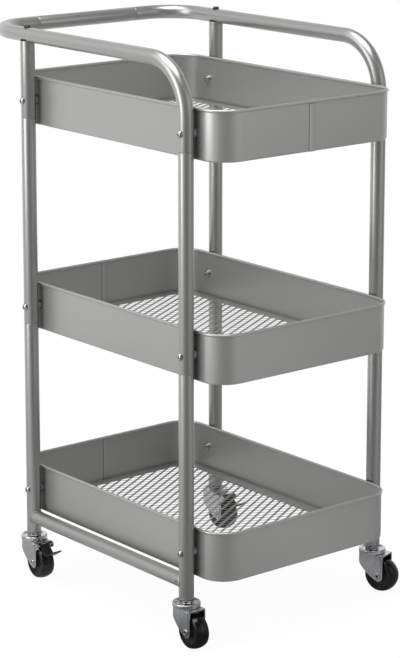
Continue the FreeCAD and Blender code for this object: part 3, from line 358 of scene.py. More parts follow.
def room_level(tree, course):
    """Brightness of the room towards a direction, from its azimuth."""
    split = add_node(tree, "ShaderNodeSeparateXYZ", {0: course})
    ahead = add_node(tree, "ShaderNodeMath", {0: split.outputs["Y"], 1: -1.0},
                     operation="MULTIPLY")
    azimuth = add_node(tree, "ShaderNodeMath", {
        0: split.outputs["X"], 1: ahead.outputs[0]}, operation="ARCTAN2")
    place = add_node(tree, "ShaderNodeMapRange", {
        "Value": azimuth.outputs[0], "From Min": -math.pi, "From Max": math.pi,
        "To Min": 0.0, "To Max": 1.0})
    ramp = add_node(tree, "ShaderNodeValToRGB", {0: place.outputs[0]})
    stops = ramp.color_ramp.elements
    while len(stops) < len(ROOM):
        stops.new(0.5)
    for stop, (angle, level) in zip(stops, ROOM):
        stop.position = angle / 360 + 0.5
        stop.color = (level, level, level, 1)
    return ramp.outputs[0]


FINISHES = {}


def make_finishes(colours):
    """One finish for each material slot of the record."""
    FINISHES.update({
        "tube_paint": powder_coat("silver_powder_coat_tube", colours.tube, 0.85, 0.31),
        "basket_paint": powder_coat("silver_powder_coat_sheet", colours.sheet, 0.75, 0.33),
        "mesh_paint": powder_coat("silver_powder_coat_mesh", colours.mesh, 0.8, 0.34),
        "castor_zinc": zinc_plate("bright_zinc_plate", colours.zinc, 0.18),
        "pedal_black": moulded("black_dipped_steel", colours.pedal, 0.35, 0.8 * MM),
        "fastener_steel": zinc_plate("nickel_plated_steel", colours.steel, 0.14),
        "spacer_plastic": moulded("grey_nylon", colours.spacer, 0.25, 0.6 * MM),
        "tyre_rubber": moulded("black_polyurethane_tyre", colours.tyre, 0.12, 0.8 * MM),
        "wheel_plastic": moulded("black_polypropylene_core", colours.core, 0.42, 0.5 * MM),
    })


def colour_property(name, description, code):
    """Colour setting with its default as a hex value."""
    return FloatVectorProperty(name=name, description=description, subtype="COLOR", size=4,
                               min=0, max=1, default=linear(code))


def length_property(name, description, millimetres):
    """Length setting with its default in millimetres."""
    return FloatProperty(name=name, description=description, subtype="DISTANCE",
                         unit="LENGTH", default=millimetres * MM, precision=5)


class TrolleyColours(bpy.types.PropertyGroup):
    tube: colour_property("Tube paint", "Silver-grey paint of the tubes", "B0B0AD")
    sheet: colour_property("Sheet paint", "Silver-grey paint of the basket walls", "B6B6B3")
    mesh: colour_property("Mesh paint", "Silver-grey paint of the mesh floors", "B2B2AF")
    zinc: colour_property("Zinc plate", "Plating of the castors' metal", "DCDEE0")
    steel: colour_property("Fastener steel", "Plating of screws and nuts", "CDCCCA")
    spacer: colour_property("Spacer plastic", "Saddle spacers behind the posts", "6A6B6C")
    pedal: colour_property("Pedal", "Black coating of the brake pedals", "161617")
    tyre: colour_property("Tyre", "Castor tyres", "0A0A0B")
    core: colour_property("Wheel core", "Castor wheel cores", "18181A")


class TrolleySizes(bpy.types.PropertyGroup):
    tube: length_property("Tube", "Outside of posts and handle", 19.0)
    tube_wall: length_property("Tube wall", "Wall of that tube", 1.2)
    tube_edge: length_property("Tube edge", "Rounding of a cut tube end", 0.7)
    swage_gap: length_property("Plug gap", "Room of a narrowed end in the next tube", 0.1)
    swage: length_property("Post plug", "Narrowed end of a post's tube", 38.0)
    bar_plug: length_property("Push bar plug", "Narrowed ends of the push bar", 21.0)
    bend: length_property("Post bend", "Bend from a post into a handle rail", 66.0)
    corner: length_property("Handle corner", "Bend from a rail to the push bar", 54.0)
    rail: length_property("Base rail", "Outside of the base rails", 18.0)
    rail_wall: length_property("Base rail wall", "Wall of the base rails", 1.2)
    weld: length_property("Weld bead", "Bead round a base rail's ends", 1.1)
    vent: length_property("Vent hole", "Hole in the outer face of a base rail", 2.6)
    vent_inset: length_property("Vent inset", "Vent hole from the right-hand post's axis", 9.5)
    sheet: length_property("Sheet", "Sheet of the basket walls", 0.8)
    bead: length_property("Rim bead", "Radius of the rolled rim", 2.0)
    basket_corner: length_property("Basket corner", "Outside corner of a wall", 34.0)
    fold: length_property("Lower fold", "Bend from the wall into its lip", 2.5)
    lip: length_property("Lip", "Inward lip under the mesh", 9.0)
    lap: length_property("Lap", "Overlap of the sheet's two ends", 9.0)
    border: length_property("Mesh border", "Closed edge of the mesh sheet", 14.0)
    mesh: length_property("Mesh sheet", "Thickness of the mesh sheet", 1.2)
    diamond_x: length_property("Diamond along X", "Mesh opening to the next one", 12.0)
    diamond_y: length_property("Diamond along Y", "Mesh opening to the next one", 20.8)
    strand: length_property("Strand", "Width of a strand's broad runs", 3.4)
    thin_strand: length_property("Thin strand", "Width of its narrow runs", 1.4)
    strand_depth: length_property("Strand depth", "Thickness of a mesh strand", 0.5)
    strand_tilt: FloatProperty(name="Strand tilt", description="Twist of the strands",
                               subtype="ANGLE", default=math.radians(6))
    screw: length_property("Screw", "Basket and handle screws", 5.0)
    head: length_property("Screw head", "Width of the pan head", 9.0)
    head_height: length_property("Head height", "Height of the pan head", 3.0)
    drive: length_property("Recess", "Width of the cross recess", 4.4)
    drive_depth: length_property("Recess depth", "Depth of the cross recess", 1.4)
    screw_end: length_property("Screw end", "Screw beyond its nut", 1.6)
    spacer: length_property("Spacer", "Post to basket wall", 3.0)
    spacer_width: length_property("Spacer width", "Outside of the spacer", 12.0)
    washer: length_property("Washer", "Outside of the washer", 11.0)
    washer_thickness: length_property("Washer thickness", "Thickness of the washer", 1.0)
    nut: length_property("Nut", "Basket nut across its flats", 8.0)
    nut_height: length_property("Nut height", "Height of the basket nut", 4.0)
    stem: length_property("Stem", "Castor stem", 10.0)
    stem_head: length_property("Stem head", "Height of the stem's head", 2.2)
    big_nut: length_property("Castor nut", "Nut under the post across its flats", 17.0)
    skirt: length_property("Raceway skirt", "Wall of the raceway's skirt", 1.8)
    race_bevel: length_property("Raceway bevel", "Rounding of the raceway's edge", 1.2)
    race: length_property("Raceway depth", "Raceway's top to its underside", 4.1)
    dish: length_property("Raceway dish", "Hollow in the raceway's top", 1.5)
    tyre: length_property("Tyre width", "Width of the castor tyre", 19.0)
    tyre_depth: length_property("Tyre depth", "Tread to the wheel core", 6.5)
    crown: length_property("Crown", "Tread's middle above its edges", 1.6)
    shoulder: length_property("Shoulder", "Depth of the tyre's shoulder", 4.0)
    core_inset: length_property("Core inset", "Tyre's side to the core's rim", 1.0)
    core_rim: length_property("Core rim", "Depth of the core's rim", 2.5)
    core_dish: length_property("Core dish", "Core's rim to its web", 2.25)
    hub: length_property("Hub", "Width of the core's hub", 14.0)
    hub_half: length_property("Hub half", "Half the length of the hub", 10.3)
    axle: length_property("Axle", "Hollow rivet through the hub", 6.0)
    rivet_head: length_property("Rivet head", "Width of the rivet's heads", 9.0)
    rivet_height: length_property("Rivet head height", "Height of those heads", 1.3)
    rivet_bore: length_property("Rivet bore", "Hollow of the rivet", 3.0)
    rivet_end: length_property("Rivet end", "Wheel's middle to a rivet's end", 14.3)


def settings():
    """Sizes and colours of the scene."""
    return bpy.context.scene.trolley_sizes, bpy.context.scene.trolley_colours


# Places read from the frame.
def post_axis(corner):
    """Axis of a post on the floor."""
    spot = middle_of("post_%s_lower" % corner)
    return np.array([spot[0], spot[1], 0.0])


class TROLLEY_OT_stage(bpy.types.Operator):
    """Pale floor, white surroundings, soft lights and the camera"""
    bl_idname = "trolley.stage"
    bl_label = "Stage"

    def execute(self, context):
        scene = context.scene
        scene.view_settings.view_transform = "Standard"
        self.surroundings(scene)
        self.floor()
        self.lights(scene)
        self.camera(scene)
        return {"FINISHED"}

    def seen(self, tree):
        """1 for rays from the camera, from gloss and through glass, else 0."""
        path = add_node(tree, "ShaderNodeLightPath")
        first = add_node(tree, "ShaderNodeMath", {
            0: path.outputs["Is Camera Ray"], 1: path.outputs["Is Glossy Ray"]},
            operation="MAXIMUM")
        return add_node(tree, "ShaderNodeMath", {
            0: first.outputs[0], 1: path.outputs["Is Transmission Ray"]},
            operation="MAXIMUM").outputs[0]

    def surroundings(self, scene):
        """White where it is seen, soft grey as a light. In gloss the room's open side and its
        ceiling are darker than the white sweep."""
        world = bpy.data.worlds.new("studio")
        world.use_nodes = True
        tree = world.node_tree
        tree.nodes.clear()
        soft = add_node(tree, "ShaderNodeBackground", {
            "Color": linear("FFFFFF"), "Strength": 0.95})
        white = add_node(tree, "ShaderNodeBackground", {
            "Color": linear("FFFFFF"), "Strength": 1.0})
        course = add_node(tree, "ShaderNodeTexCoord").outputs["Generated"]
        height = add_node(tree, "ShaderNodeSeparateXYZ", {0: course}).outputs["Z"]
        ceiling = add_node(tree, "ShaderNodeMapRange", {
            "Value": height, "From Min": 0.3, "From Max": 0.85, "To Min": 1.0, "To Max": 0.3},
            interpolation_type="SMOOTHSTEP")
        both = add_node(tree, "ShaderNodeMath", {
            0: room_level(tree, course), 1: ceiling.outputs[0]}, operation="MULTIPLY")
        room = add_node(tree, "ShaderNodeBackground", {
            "Color": linear("FFFFFF"), "Strength": both.outputs[0]})
        path = add_node(tree, "ShaderNodeLightPath")
        mirrored = add_node(tree, "ShaderNodeMixShader", {
            0: path.outputs["Is Glossy Ray"], 1: soft.outputs[0], 2: room.outputs[0]})
        plain = add_node(tree, "ShaderNodeMath", {
            0: path.outputs["Is Camera Ray"], 1: path.outputs["Is Transmission Ray"]},
            operation="MAXIMUM")
        mix = add_node(tree, "ShaderNodeMixShader", {
            0: plain.outputs[0], 1: mirrored.outputs[0], 2: white.outputs[0]})
        add_node(tree, "ShaderNodeOutputWorld", {"Surface": mix.outputs[0]})
        scene.world = world

    def floor(self):
        """Round floor that keeps a faint shadow near the trolley and is white further out."""
        ring = np.array([[6.0, 0.0], [1.2, 0.0], [0.0, 0.0]])
        points, quads = skin(turned(ring, origin=(0, 0, -0.05 * MM), segments=64))
        mesh = bpy.data.meshes.new("floor")
        mesh.from_pydata(points.tolist(), [], quads.tolist())
        mesh.validate()
        floor = bpy.data.objects.new("floor", mesh)
        bpy.context.scene.collection.objects.link(floor)
        paper = bpy.data.materials.new("white_paper_floor")
        paper.use_nodes = True
        tree = paper.node_tree
        tree.nodes.clear()
        place = add_node(tree, "ShaderNodeTexCoord").outputs["Object"]
        away = add_node(tree, "ShaderNodeVectorMath", {0: place}, operation="LENGTH")
        share = add_node(tree, "ShaderNodeMapRange", {
            "Value": away.outputs["Value"], "From Min": 0.35, "From Max": 1.1,
            "To Min": 0.94, "To Max": 1.0})
        factor = add_node(tree, "ShaderNodeMath", {
            0: self.seen(tree), 1: share.outputs[0]}, operation="MULTIPLY")
        dull = add_node(tree, "ShaderNodeBsdfDiffuse", {"Color": linear("EDEDED")})
        path = add_node(tree, "ShaderNodeLightPath")
        # Painted shade and light in the floor's reflections: seen in gloss, the floor is darker
        # near the trolley, and brighter or darker by azimuth after the room table.
        near = add_node(tree, "ShaderNodeMapRange", {
            "Value": away.outputs["Value"], "From Min": 0.3, "From Max": 1.6,
            "To Min": 0.6, "To Max": 1.0})
        room = add_node(tree, "ShaderNodeMath", {
            0: room_level(tree, place), 1: near.outputs[0]}, operation="MULTIPLY")
        level = add_node(tree, "ShaderNodeMix", {
            "Factor": path.outputs["Is Glossy Ray"], "A": 1.0, "B": room.outputs[0]},
            data_type="FLOAT")
        white = add_node(tree, "ShaderNodeEmission", {
            "Color": linear("FFFFFF"), "Strength": level.outputs[0]})
        mix = add_node(tree, "ShaderNodeMixShader", {
            0: factor.outputs[0], 1: dull.outputs[0], 2: white.outputs[0]})
        add_node(tree, "ShaderNodeOutputMaterial", {"Surface": mix.outputs[0]})
        mesh.materials.append(paper)

    def lights(self, scene):
        """Softbox in front, one high over it, a weak one at the right and a strong one
        above."""
        for name, azimuth, elevation, away, wide, tall, power in (
                ("key", -8, 14, 2.0, 0.9, 1.4, 10.0),
                ("high", -24, 48, 2.2, 1.2, 1.6, 7.0),
                ("fill", 118, 18, 2.2, 1.2, 1.4, 1.5),
                ("top", 20, 82, 2.2, 1.6, 1.6, 38.0)):
            lamp = bpy.data.lights.new(name, "AREA")
            lamp.shape = "RECTANGLE"
            lamp.size = wide
            lamp.size_y = tall
            lamp.energy = power
            holder = bpy.data.objects.new(name, lamp)
            scene.collection.objects.link(holder)
            a, e = math.radians(azimuth), math.radians(elevation)
            back = Vector((math.sin(a) * math.cos(e), -math.cos(a) * math.cos(e), math.sin(e)))
            holder.location = Vector((0, 0, 0.4)) + back * away
            holder.rotation_euler = back.to_track_quat("Z", "Y").to_euler()

    def camera(self, scene):
        """Camera at the photograph's angle: azimuth and elevation of its place about a point
        on the trolley's axis."""
        azimuth, elevation = math.radians(50.86), math.radians(11.36)
        distance, height, sideways = 3.159, 0.5216, -0.0025
        lens = bpy.data.cameras.new("camera")
        lens.sensor_width = SENSOR
        lens.lens = FOCAL_PIXELS * SENSOR / IMAGE_HEIGHT
        lens.shift_y = SHIFT_PIXELS / IMAGE_HEIGHT
        lens.clip_start = 0.1
        lens.clip_end = 50.0
        camera = bpy.data.objects.new("camera", lens)
        scene.collection.objects.link(camera)
        back = Vector((math.sin(azimuth) * math.cos(elevation),
                       -math.cos(azimuth) * math.cos(elevation), math.sin(elevation)))
        across = Vector((math.cos(azimuth), math.sin(azimuth), 0))
        between = (post_axis("front_left") + post_axis("back_right")) / 2
        camera.location = (Vector(between) + back * distance + across * sideways
                           + Vector((0, 0, height)))
        camera.rotation_euler = (QUARTER - elevation, 0, azimuth)
        scene.camera = camera


class TROLLEY_OT_carried(bpy.types.Operator):
    """Finishes on the frame's own nodes"""
    bl_idname = "trolley.carried"
    bl_label = "Finishes on frame nodes"

    def execute(self, context):
        slots = {
            "post": "tube_paint", "handle_tube": "tube_paint", "push_bar": "tube_paint",
            "base_rail": "tube_paint", "basket_wall": "basket_paint",
            "basket_floor": "mesh_paint", "basket_spacers": "spacer_plastic",
            "castor": "castor_zinc",
        }
        for node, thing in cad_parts.items():
            slot = "fastener_steel"
            for start, name in slots.items():
                if node.startswith(start):
                    slot = name
            if node.endswith("_tyre"):
                slot = "tyre_rubber"
            if node.endswith("_pedal"):
                slot = "pedal_black"
            if node.endswith("_wheel"):
                slot = "wheel_plastic"
            thing.data.materials.clear()
            thing.data.materials.append(FINISHES[slot])
        return {"FINISHED"}


class TROLLEY_OT_tubes(bpy.types.Operator):
    """Posts, handle, push bar and base rails of painted tube"""
    bl_idname = "trolley.tubes"
    bl_label = "Tubes"

    def execute(self, context):
        sizes = settings()[0]
        self.radius = sizes.tube / 2
        self.bore = self.radius - sizes.tube_wall
        self.plug = self.bore - sizes.swage_gap
        self.posts(sizes)
        self.handle(sizes)
        self.rails(sizes)
        return {"FINISHED"}

    def plugged(self, low, joint, top, sizes):
        """Closed outline of a tube whose upper end is narrowed into a plug."""
        edge = sizes.tube_edge
        inner = self.plug - sizes.tube_wall
        return rounded([
            (self.bore, low, 0), (self.radius, low, edge), (self.radius, joint, edge),
            (self.plug, joint, 0), (self.plug, top, edge / 2), (inner, top, 0),
            (inner, joint - sizes.tube_wall, 0), (self.bore, joint - sizes.tube_wall, 0)])

    def posts(self, sizes):
        """Lower, middle and short upper tube of each post."""
        for corner, (side_x, side_y) in SIDES.items():
            axis = post_axis(corner)
            for level in ("lower", "middle"):
                node = "post_%s_%s" % (corner, level)
                low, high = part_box(node)
                outline = self.plugged(low.z, high.z - sizes.swage, high.z, sizes)
                make_piece("tube_" + node, [skin(turned(outline, axis), True)],
                           "frame", "tube_paint", [node])
            if side_x < 0:
                self.short_post("post_%s_upper" % corner, axis, sizes)

    def short_post(self, node, axis, sizes):
        """Short tube under a handle rail: its top follows the rail, at the rail's axis less
        the square root of the saddle's radius squared less the reach across squared."""
        low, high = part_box(node)
        rail = middle_of("push_bar")[2]
        angle = np.linspace(0, TURN, 96, endpoint=False)
        edge = sizes.tube_edge
        rings = []
        for radius, height in (
                (self.bore, low.z), (self.radius - edge, low.z),
                (self.radius - 0.3 * edge, low.z + 0.3 * edge), (self.radius, low.z + edge),
                (self.radius, None), (self.bore, None)):
            across = radius * np.sin(angle)
            if height is None:
                saddle = rail - np.sqrt((self.radius + 0.05 * MM) ** 2 - across ** 2)
                height = np.minimum(high.z, saddle)
            rings.append(np.stack([radius * np.cos(angle), across,
                                   np.broadcast_to(height, angle.shape)], axis=-1))
        make_piece("tube_" + node, [skin(np.array(rings) + axis, True)],
                   "frame", "tube_paint", [node])

    def handle(self, sizes):
        """Bent tubes that go on from the right-hand posts, and the bar between them."""
        rail = middle_of("push_bar")
        bar_low, bar_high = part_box("push_bar")
        half = (bar_high.y - bar_low.y) / 2 - sizes.bar_plug
        for side, name in ((-1, "front"), (1, "back")):
            post = post_axis(name + "_right")
            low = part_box("handle_tube_" + name)[0].z
            legs = [
                (rail[2] - sizes.bend - low, 0, None),
                (sizes.bend * QUARTER, sizes.bend, -RIGHT),
                (post[0] - rail[0] - sizes.bend - sizes.corner, 0, None),
                (sizes.corner * QUARTER, sizes.corner, -side * DEEP),
                (abs(post[1]) - sizes.corner - half, 0, None),
            ]
            tube = bent_tube(post + low * UP, UP, legs, DEEP + 0.001 * UP, self.radius,
                             sizes.tube_wall, sizes.tube_edge)
            make_piece("tube_handle_" + name, [skin(tube, True)], "frame", "tube_paint",
                       ["handle_tube_" + name])
        edge = sizes.tube_edge
        end = half + sizes.bar_plug
        inner = self.plug - sizes.tube_wall
        outline = rounded([
            (inner, -end, 0), (self.plug, -end, edge / 2), (self.plug, -half, 0),
            (self.radius, -half, edge), (self.radius, half, edge), (self.plug, half, 0),
            (self.plug, end, edge / 2), (inner, end, 0)])
        make_piece("tube_push_bar", [skin(turned(outline, rail, DEEP, 56), True)],
                   "frame", "tube_paint", ["push_bar"])

    def rails(self, sizes):
        """Base rails, coped to the posts, each with a weld bead round its ends: the rail's end
        lies the square root of the post's radius squared less the reach across squared from
        the post's axis."""
        angle = np.linspace(0, TURN, 144, endpoint=False)
        radius, hole = sizes.rail / 2, sizes.vent / 2
        for side, name in ((-1, "front"), (1, "back")):
            node = "base_rail_" + name
            middle = middle_of(node)
            half = abs(post_axis(name + "_right")[0] - middle[0])
            vent = half - sizes.vent_inset
            along = np.concatenate([[0.0], vent + np.linspace(-2, 1.5, 21) * hole])
            bore = radius - sizes.rail_wall
            rows = []
            for reach, sign, station in (
                    (bore, -1, None), (radius, -1, None), *((radius, 1, x) for x in along),
                    (radius, 1, None), (bore, 1, None)):
                across = reach * np.sin(angle)
                end = sign * (half - np.sqrt(self.radius ** 2 - across ** 2))
                if station is not None:
                    end = np.minimum(station, end - 0.02 * MM)
                    away = np.hypot(end - vent, radius * (angle - math.pi - side * -QUARTER))
                    reach = radius - hole * np.clip((hole - away) / (0.25 * MM), 0, 1)
                rows.append(np.stack([end, reach * np.sin(angle), reach * np.cos(angle)],
                                     axis=-1))
            make_piece("tube_" + node, [skin(np.array(rows) + middle, True)],
                       "frame", "tube_paint", [node])
            beads = []
            for sign in (-1, 1):
                across = radius * np.sin(angle)
                end = sign * (half - np.sqrt(self.radius ** 2 - across ** 2))
                line = np.stack([end, across, radius * np.cos(angle)], axis=-1)
                out = np.stack([0 * angle, np.sin(angle), np.cos(angle)], axis=-1)
                turn = np.linspace(0, TURN, 12, endpoint=False)
                thick = sizes.weld * (1 + 0.1 * np.cos(16 * angle))
                bead = (line[:, None] + thick[:, None, None] * (
                    np.cos(turn)[None, :, None] * out[:, None]
                    + np.sin(turn)[None, :, None] * RIGHT))
                beads.append(skin(bead + middle, True))
            make_piece("weld_" + node, beads, "frame", "tube_paint")


class TROLLEY_OT_basket_walls(bpy.types.Operator):
    """Sheet walls of the three baskets, with rolled rim, lower lip and lap"""
    bl_idname = "trolley.basket_walls"
    bl_label = "Basket walls"

    def execute(self, context):
        sizes = settings()[0]
        for tier in TIERS:
            node = "basket_wall_" + tier
            low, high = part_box(node)
            middle = middle_of(node)
            middle[2] = low.z
            # The rim's bead stands out of the wall by its radius less half the sheet, and
            # a lap on the outside of one end makes the box one sheet longer there.
            proud = sizes.bead - sizes.sheet / 2
            middle[0] = middle_of("basket_floor_" + tier)[0]
            half_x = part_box("basket_floor_" + tier)[1].x - middle[0]
            half_x += 2 * sizes.sheet + MESH_ROOM
            half_y = (high.y - low.y) / 2 - proud
            height = high.z - low.z
            skins = [skin(round_band(self.section(height, sizes), half_x, half_y,
                                     sizes.basket_corner, middle), True)]
            skins.append(self.lap(tier, height, half_x, middle, sizes))
            make_piece("sheet_" + node, skins, "frame", "basket_paint", [node])
        return {"FINISHED"}

    def section(self, height, sizes):
        """Closed section (inset, height) of the wall: up the outside into the rolled rim's
        circle, down the inside, and round the fold to the lip's edge and back."""
        bead, sheet = sizes.bead, sizes.sheet
        top = height - bead
        open_angle = math.asin(min(sheet / 2 / bead, 1))
        turn = np.linspace(-QUARTER - open_angle, -QUARTER - TURN + open_angle, 25)
        ring = np.stack([sheet / 2 + bead * np.cos(turn), top + bead * np.sin(turn)], axis=-1)
        foot = rounded([
            (0, height / 2, 0), (sheet, height / 2, 0), (sheet, sheet, sizes.fold - sheet),
            (sheet + sizes.lip, sheet, sheet / 3), (sheet + sizes.lip, 0, sheet / 3),
            (0, 0, sizes.fold)], steps=7)[14:]
        return np.concatenate([ring, foot])

    def lap(self, tier, height, half_x, middle, sizes):
        """Second layer of sheet where its two ends overlap: a plate with rounded edges."""
        side = LAP_SIDE[tier]
        sheet, half = sizes.sheet, sizes.lap / 2
        outline = rounded([
            (-half, -sheet / 2, 0), (half, -sheet / 2, 0), (half, sheet / 2, sheet / 3),
            (-half, sheet / 2, sheet / 3)], steps=4)
        out = half_x + sheet / 2 if side > 0 else half_x - 1.5 * sheet
        face = 1 if side > 0 else -1
        levels = np.array([0.3 * MM, height - 2 * sizes.bead])
        if side < 0:
            levels[0] = 2.2 * MM
        x = side * out + side * face * outline[:, 1]
        plate = np.stack(np.broadcast_arrays(
            x[None], outline[None, :, 0], levels[:, None]), axis=-1)
        core = plate.mean(axis=1, keepdims=True)
        caps = np.concatenate([
            np.broadcast_to(core[:1], plate[:1].shape), plate,
            np.broadcast_to(core[1:], plate[:1].shape)])
        return skin(caps + middle)


class TROLLEY_OT_basket_floors(bpy.types.Operator):
    """Expanded mesh floors of the three baskets"""
    bl_idname = "trolley.basket_floors"
    bl_label = "Mesh floors"

    def execute(self, context):
        sizes = settings()[0]
        for tier in TIERS:
            node = "basket_floor_" + tier
            low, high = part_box(node)
            middle = middle_of(node)
            middle[2] = low.z
            half_x, half_y = (high.x - low.x) / 2, (high.y - low.y) / 2
            corner = sizes.basket_corner - 2 * sizes.sheet - MESH_ROOM
            border = rounded([
                (0.6 * MM, 0, 0), (0.6 * MM, sizes.mesh, 0),
                (sizes.border, sizes.mesh, 0.4 * MM), (sizes.border, 0, 0.4 * MM)], steps=4)
            skins = [
                skin(round_band(border, half_x, half_y, corner, middle), True),
                *self.strands(half_x, half_y, corner, middle, sizes)]
            make_piece("mesh_" + node, skins, "frame", "mesh_paint", [node])
        return {"FINISHED"}

    def strands(self, half_x, half_y, corner, middle, sizes):
        """Slit and stretched sheet, with broad and narrow runs. Strand i lies on the line
        x = i half diamonds and swings to each side by a quarter of a diamond less half its
        width, so that it meets its two neighbours in turn; its swing is a clipped triangle
        wave of y."""
        tuck = sizes.border - 2 * MM
        step, wave = sizes.diamond_x / 2, sizes.diamond_y
        count = int((half_x - tuck) // step)
        number = np.arange(-count, count + 1)
        line = number * step
        into = np.maximum(np.abs(line) - (half_x - corner), 0)
        reach = half_y - corner + np.sqrt((corner - tuck) ** 2 - into ** 2)
        knuckle = 0.2 * wave / 2
        knots = int(half_y // (wave / 2)) + 1
        near = np.array([-1.3, -1, 1, 1.3]) * knuckle / 2
        stations = (np.arange(-knots, knots + 1)[:, None] * wave / 2 + near).ravel()
        y = np.clip(stations[None], -reach[:, None], reach[:, None])
        phase = (y / wave) % 1 - 0.5
        parity = np.where(number % 2, -1, 1)[:, None]
        gain = 1 / (1 - 2 * knuckle / wave)
        swing = -np.clip((1 - 4 * np.abs(phase)) * gain, -1, 1) * parity
        # The slanted runs that go back towards the left are the broad ones.
        broad = np.where(np.sign(phase) * parity > 0, 0, 1)
        run = np.tile(np.abs(near) > 0.55 * knuckle, 2 * knots + 1)
        width = np.where(run, np.where(broad, sizes.strand, sizes.thin_strand),
                         (sizes.strand + sizes.thin_strand) / 2)
        lean_x, lean_z = math.cos(sizes.strand_tilt), math.sin(sizes.strand_tilt)
        room = sizes.diamond_x / 4 - (sizes.strand + sizes.thin_strand) / 4 * lean_x
        x = line[:, None] + swing * room
        across = np.array([-1, 1, 1, -1]) * width[:, :, None] / 2
        thick = np.array([-1, -1, 1, 1]) * sizes.strand_depth / 2
        offset_x = across * lean_x - thick * lean_z
        offset_z = across * lean_z + thick * lean_x
        grid = np.stack(np.broadcast_arrays(
            x[:, :, None] + offset_x, y[:, :, None] + 0 * offset_x,
            offset_z.max() + offset_z), axis=-1) + middle
        ends = grid.mean(axis=2, keepdims=True)
        caps = np.broadcast_to(ends, grid.shape)
        closed = np.concatenate([caps[:, :1], grid, caps[:, -1:]], axis=1)
        return [skin(strand) for strand in closed]


def headed_screw(origin, axis, sizes, length, rings=16, segments=48):
    """Pan-head screw with a cross recess over a polar grid: up the shank, out under the head
    and in over its dome, whose height falls with the fourth power of the reach, less the
    recess, which is deep where the distance to the cross is below zero."""
    side, other, axis = around(axis)
    radius, shank = sizes.head / 2, sizes.screw / 2
    angle = np.linspace(0, TURN, segments, endpoint=False)
    part = np.linspace(1, 0, rings)
    reach = radius * np.sqrt(part)[:, None] * np.ones_like(angle)
    x, y = reach * np.cos(angle), reach * np.sin(angle)
    arm = sizes.drive / 4
    one = np.maximum(np.abs(x) - sizes.drive / 2, np.abs(y) - arm / 2)
    cross = np.maximum(np.abs(y) - sizes.drive / 2, np.abs(x) - arm / 2)
    deep = np.clip(0.5 - np.minimum(one, cross) / (0.3 * MM), 0, 1)
    dome = sizes.head_height * (1 - 0.66 * (reach / radius) ** 4) - sizes.drive_depth * deep
    stalk = np.array([(0, -length), (0.8 * shank, -length), (shank, 0.2 * shank - length),
                      (shank, 0), (0.96 * radius, 0), (radius, 0.06 * radius)])
    x = np.concatenate([stalk[:, :1] * np.cos(angle), x])
    y = np.concatenate([stalk[:, :1] * np.sin(angle), y])
    z = np.concatenate([stalk[:, 1:] + 0 * angle, dome])
    grid = x[..., None] * side + y[..., None] * other + z[..., None] * axis
    return skin(grid + np.asarray(origin))


def hexagon_nut(origin, axis, flats, height, bore, per_side=7):
    """Nut whose reach at a turn is half its flats over the cosine of the turn from the
    nearest flat's middle; a cone of 30 degrees takes its corners off at both ends."""
    side, other, axis = around(axis)
    angle = np.linspace(0, TURN, 6 * per_side, endpoint=False)
    sixth = TURN / 6
    reach = flats / 2 / np.cos((angle + sixth / 2) % sixth - sixth / 2)
    circle = np.full_like(reach, 0.47 * flats)
    cone = np.maximum((reach - circle) * math.tan(math.radians(30)), 0)
    hole = np.full_like(reach, bore)
    sink = 0.6 * MM
    rows = [(hole, hole * 0 + sink), (hole + sink, hole * 0), (circle, hole * 0),
            (reach, cone), (reach, height - cone), (circle, hole * 0 + height),
            (hole + sink, hole * 0 + height), (hole, hole * 0 + height - sink)]
    spoke = np.cos(angle)[:, None] * side + np.sin(angle)[:, None] * other
    grid = np.array([r[:, None] * spoke + z[:, None] * axis for r, z in rows])
    return skin(grid + np.asarray(origin), True)


def screw_height(tier, sizes):
    """Height of a basket's screws: as far above its wall's lower edge as the lower ones."""
    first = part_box("basket_screws")[0].z + sizes.head / 2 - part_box("basket_wall_lower")[0].z
    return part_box("basket_wall_" + tier)[0].z + first


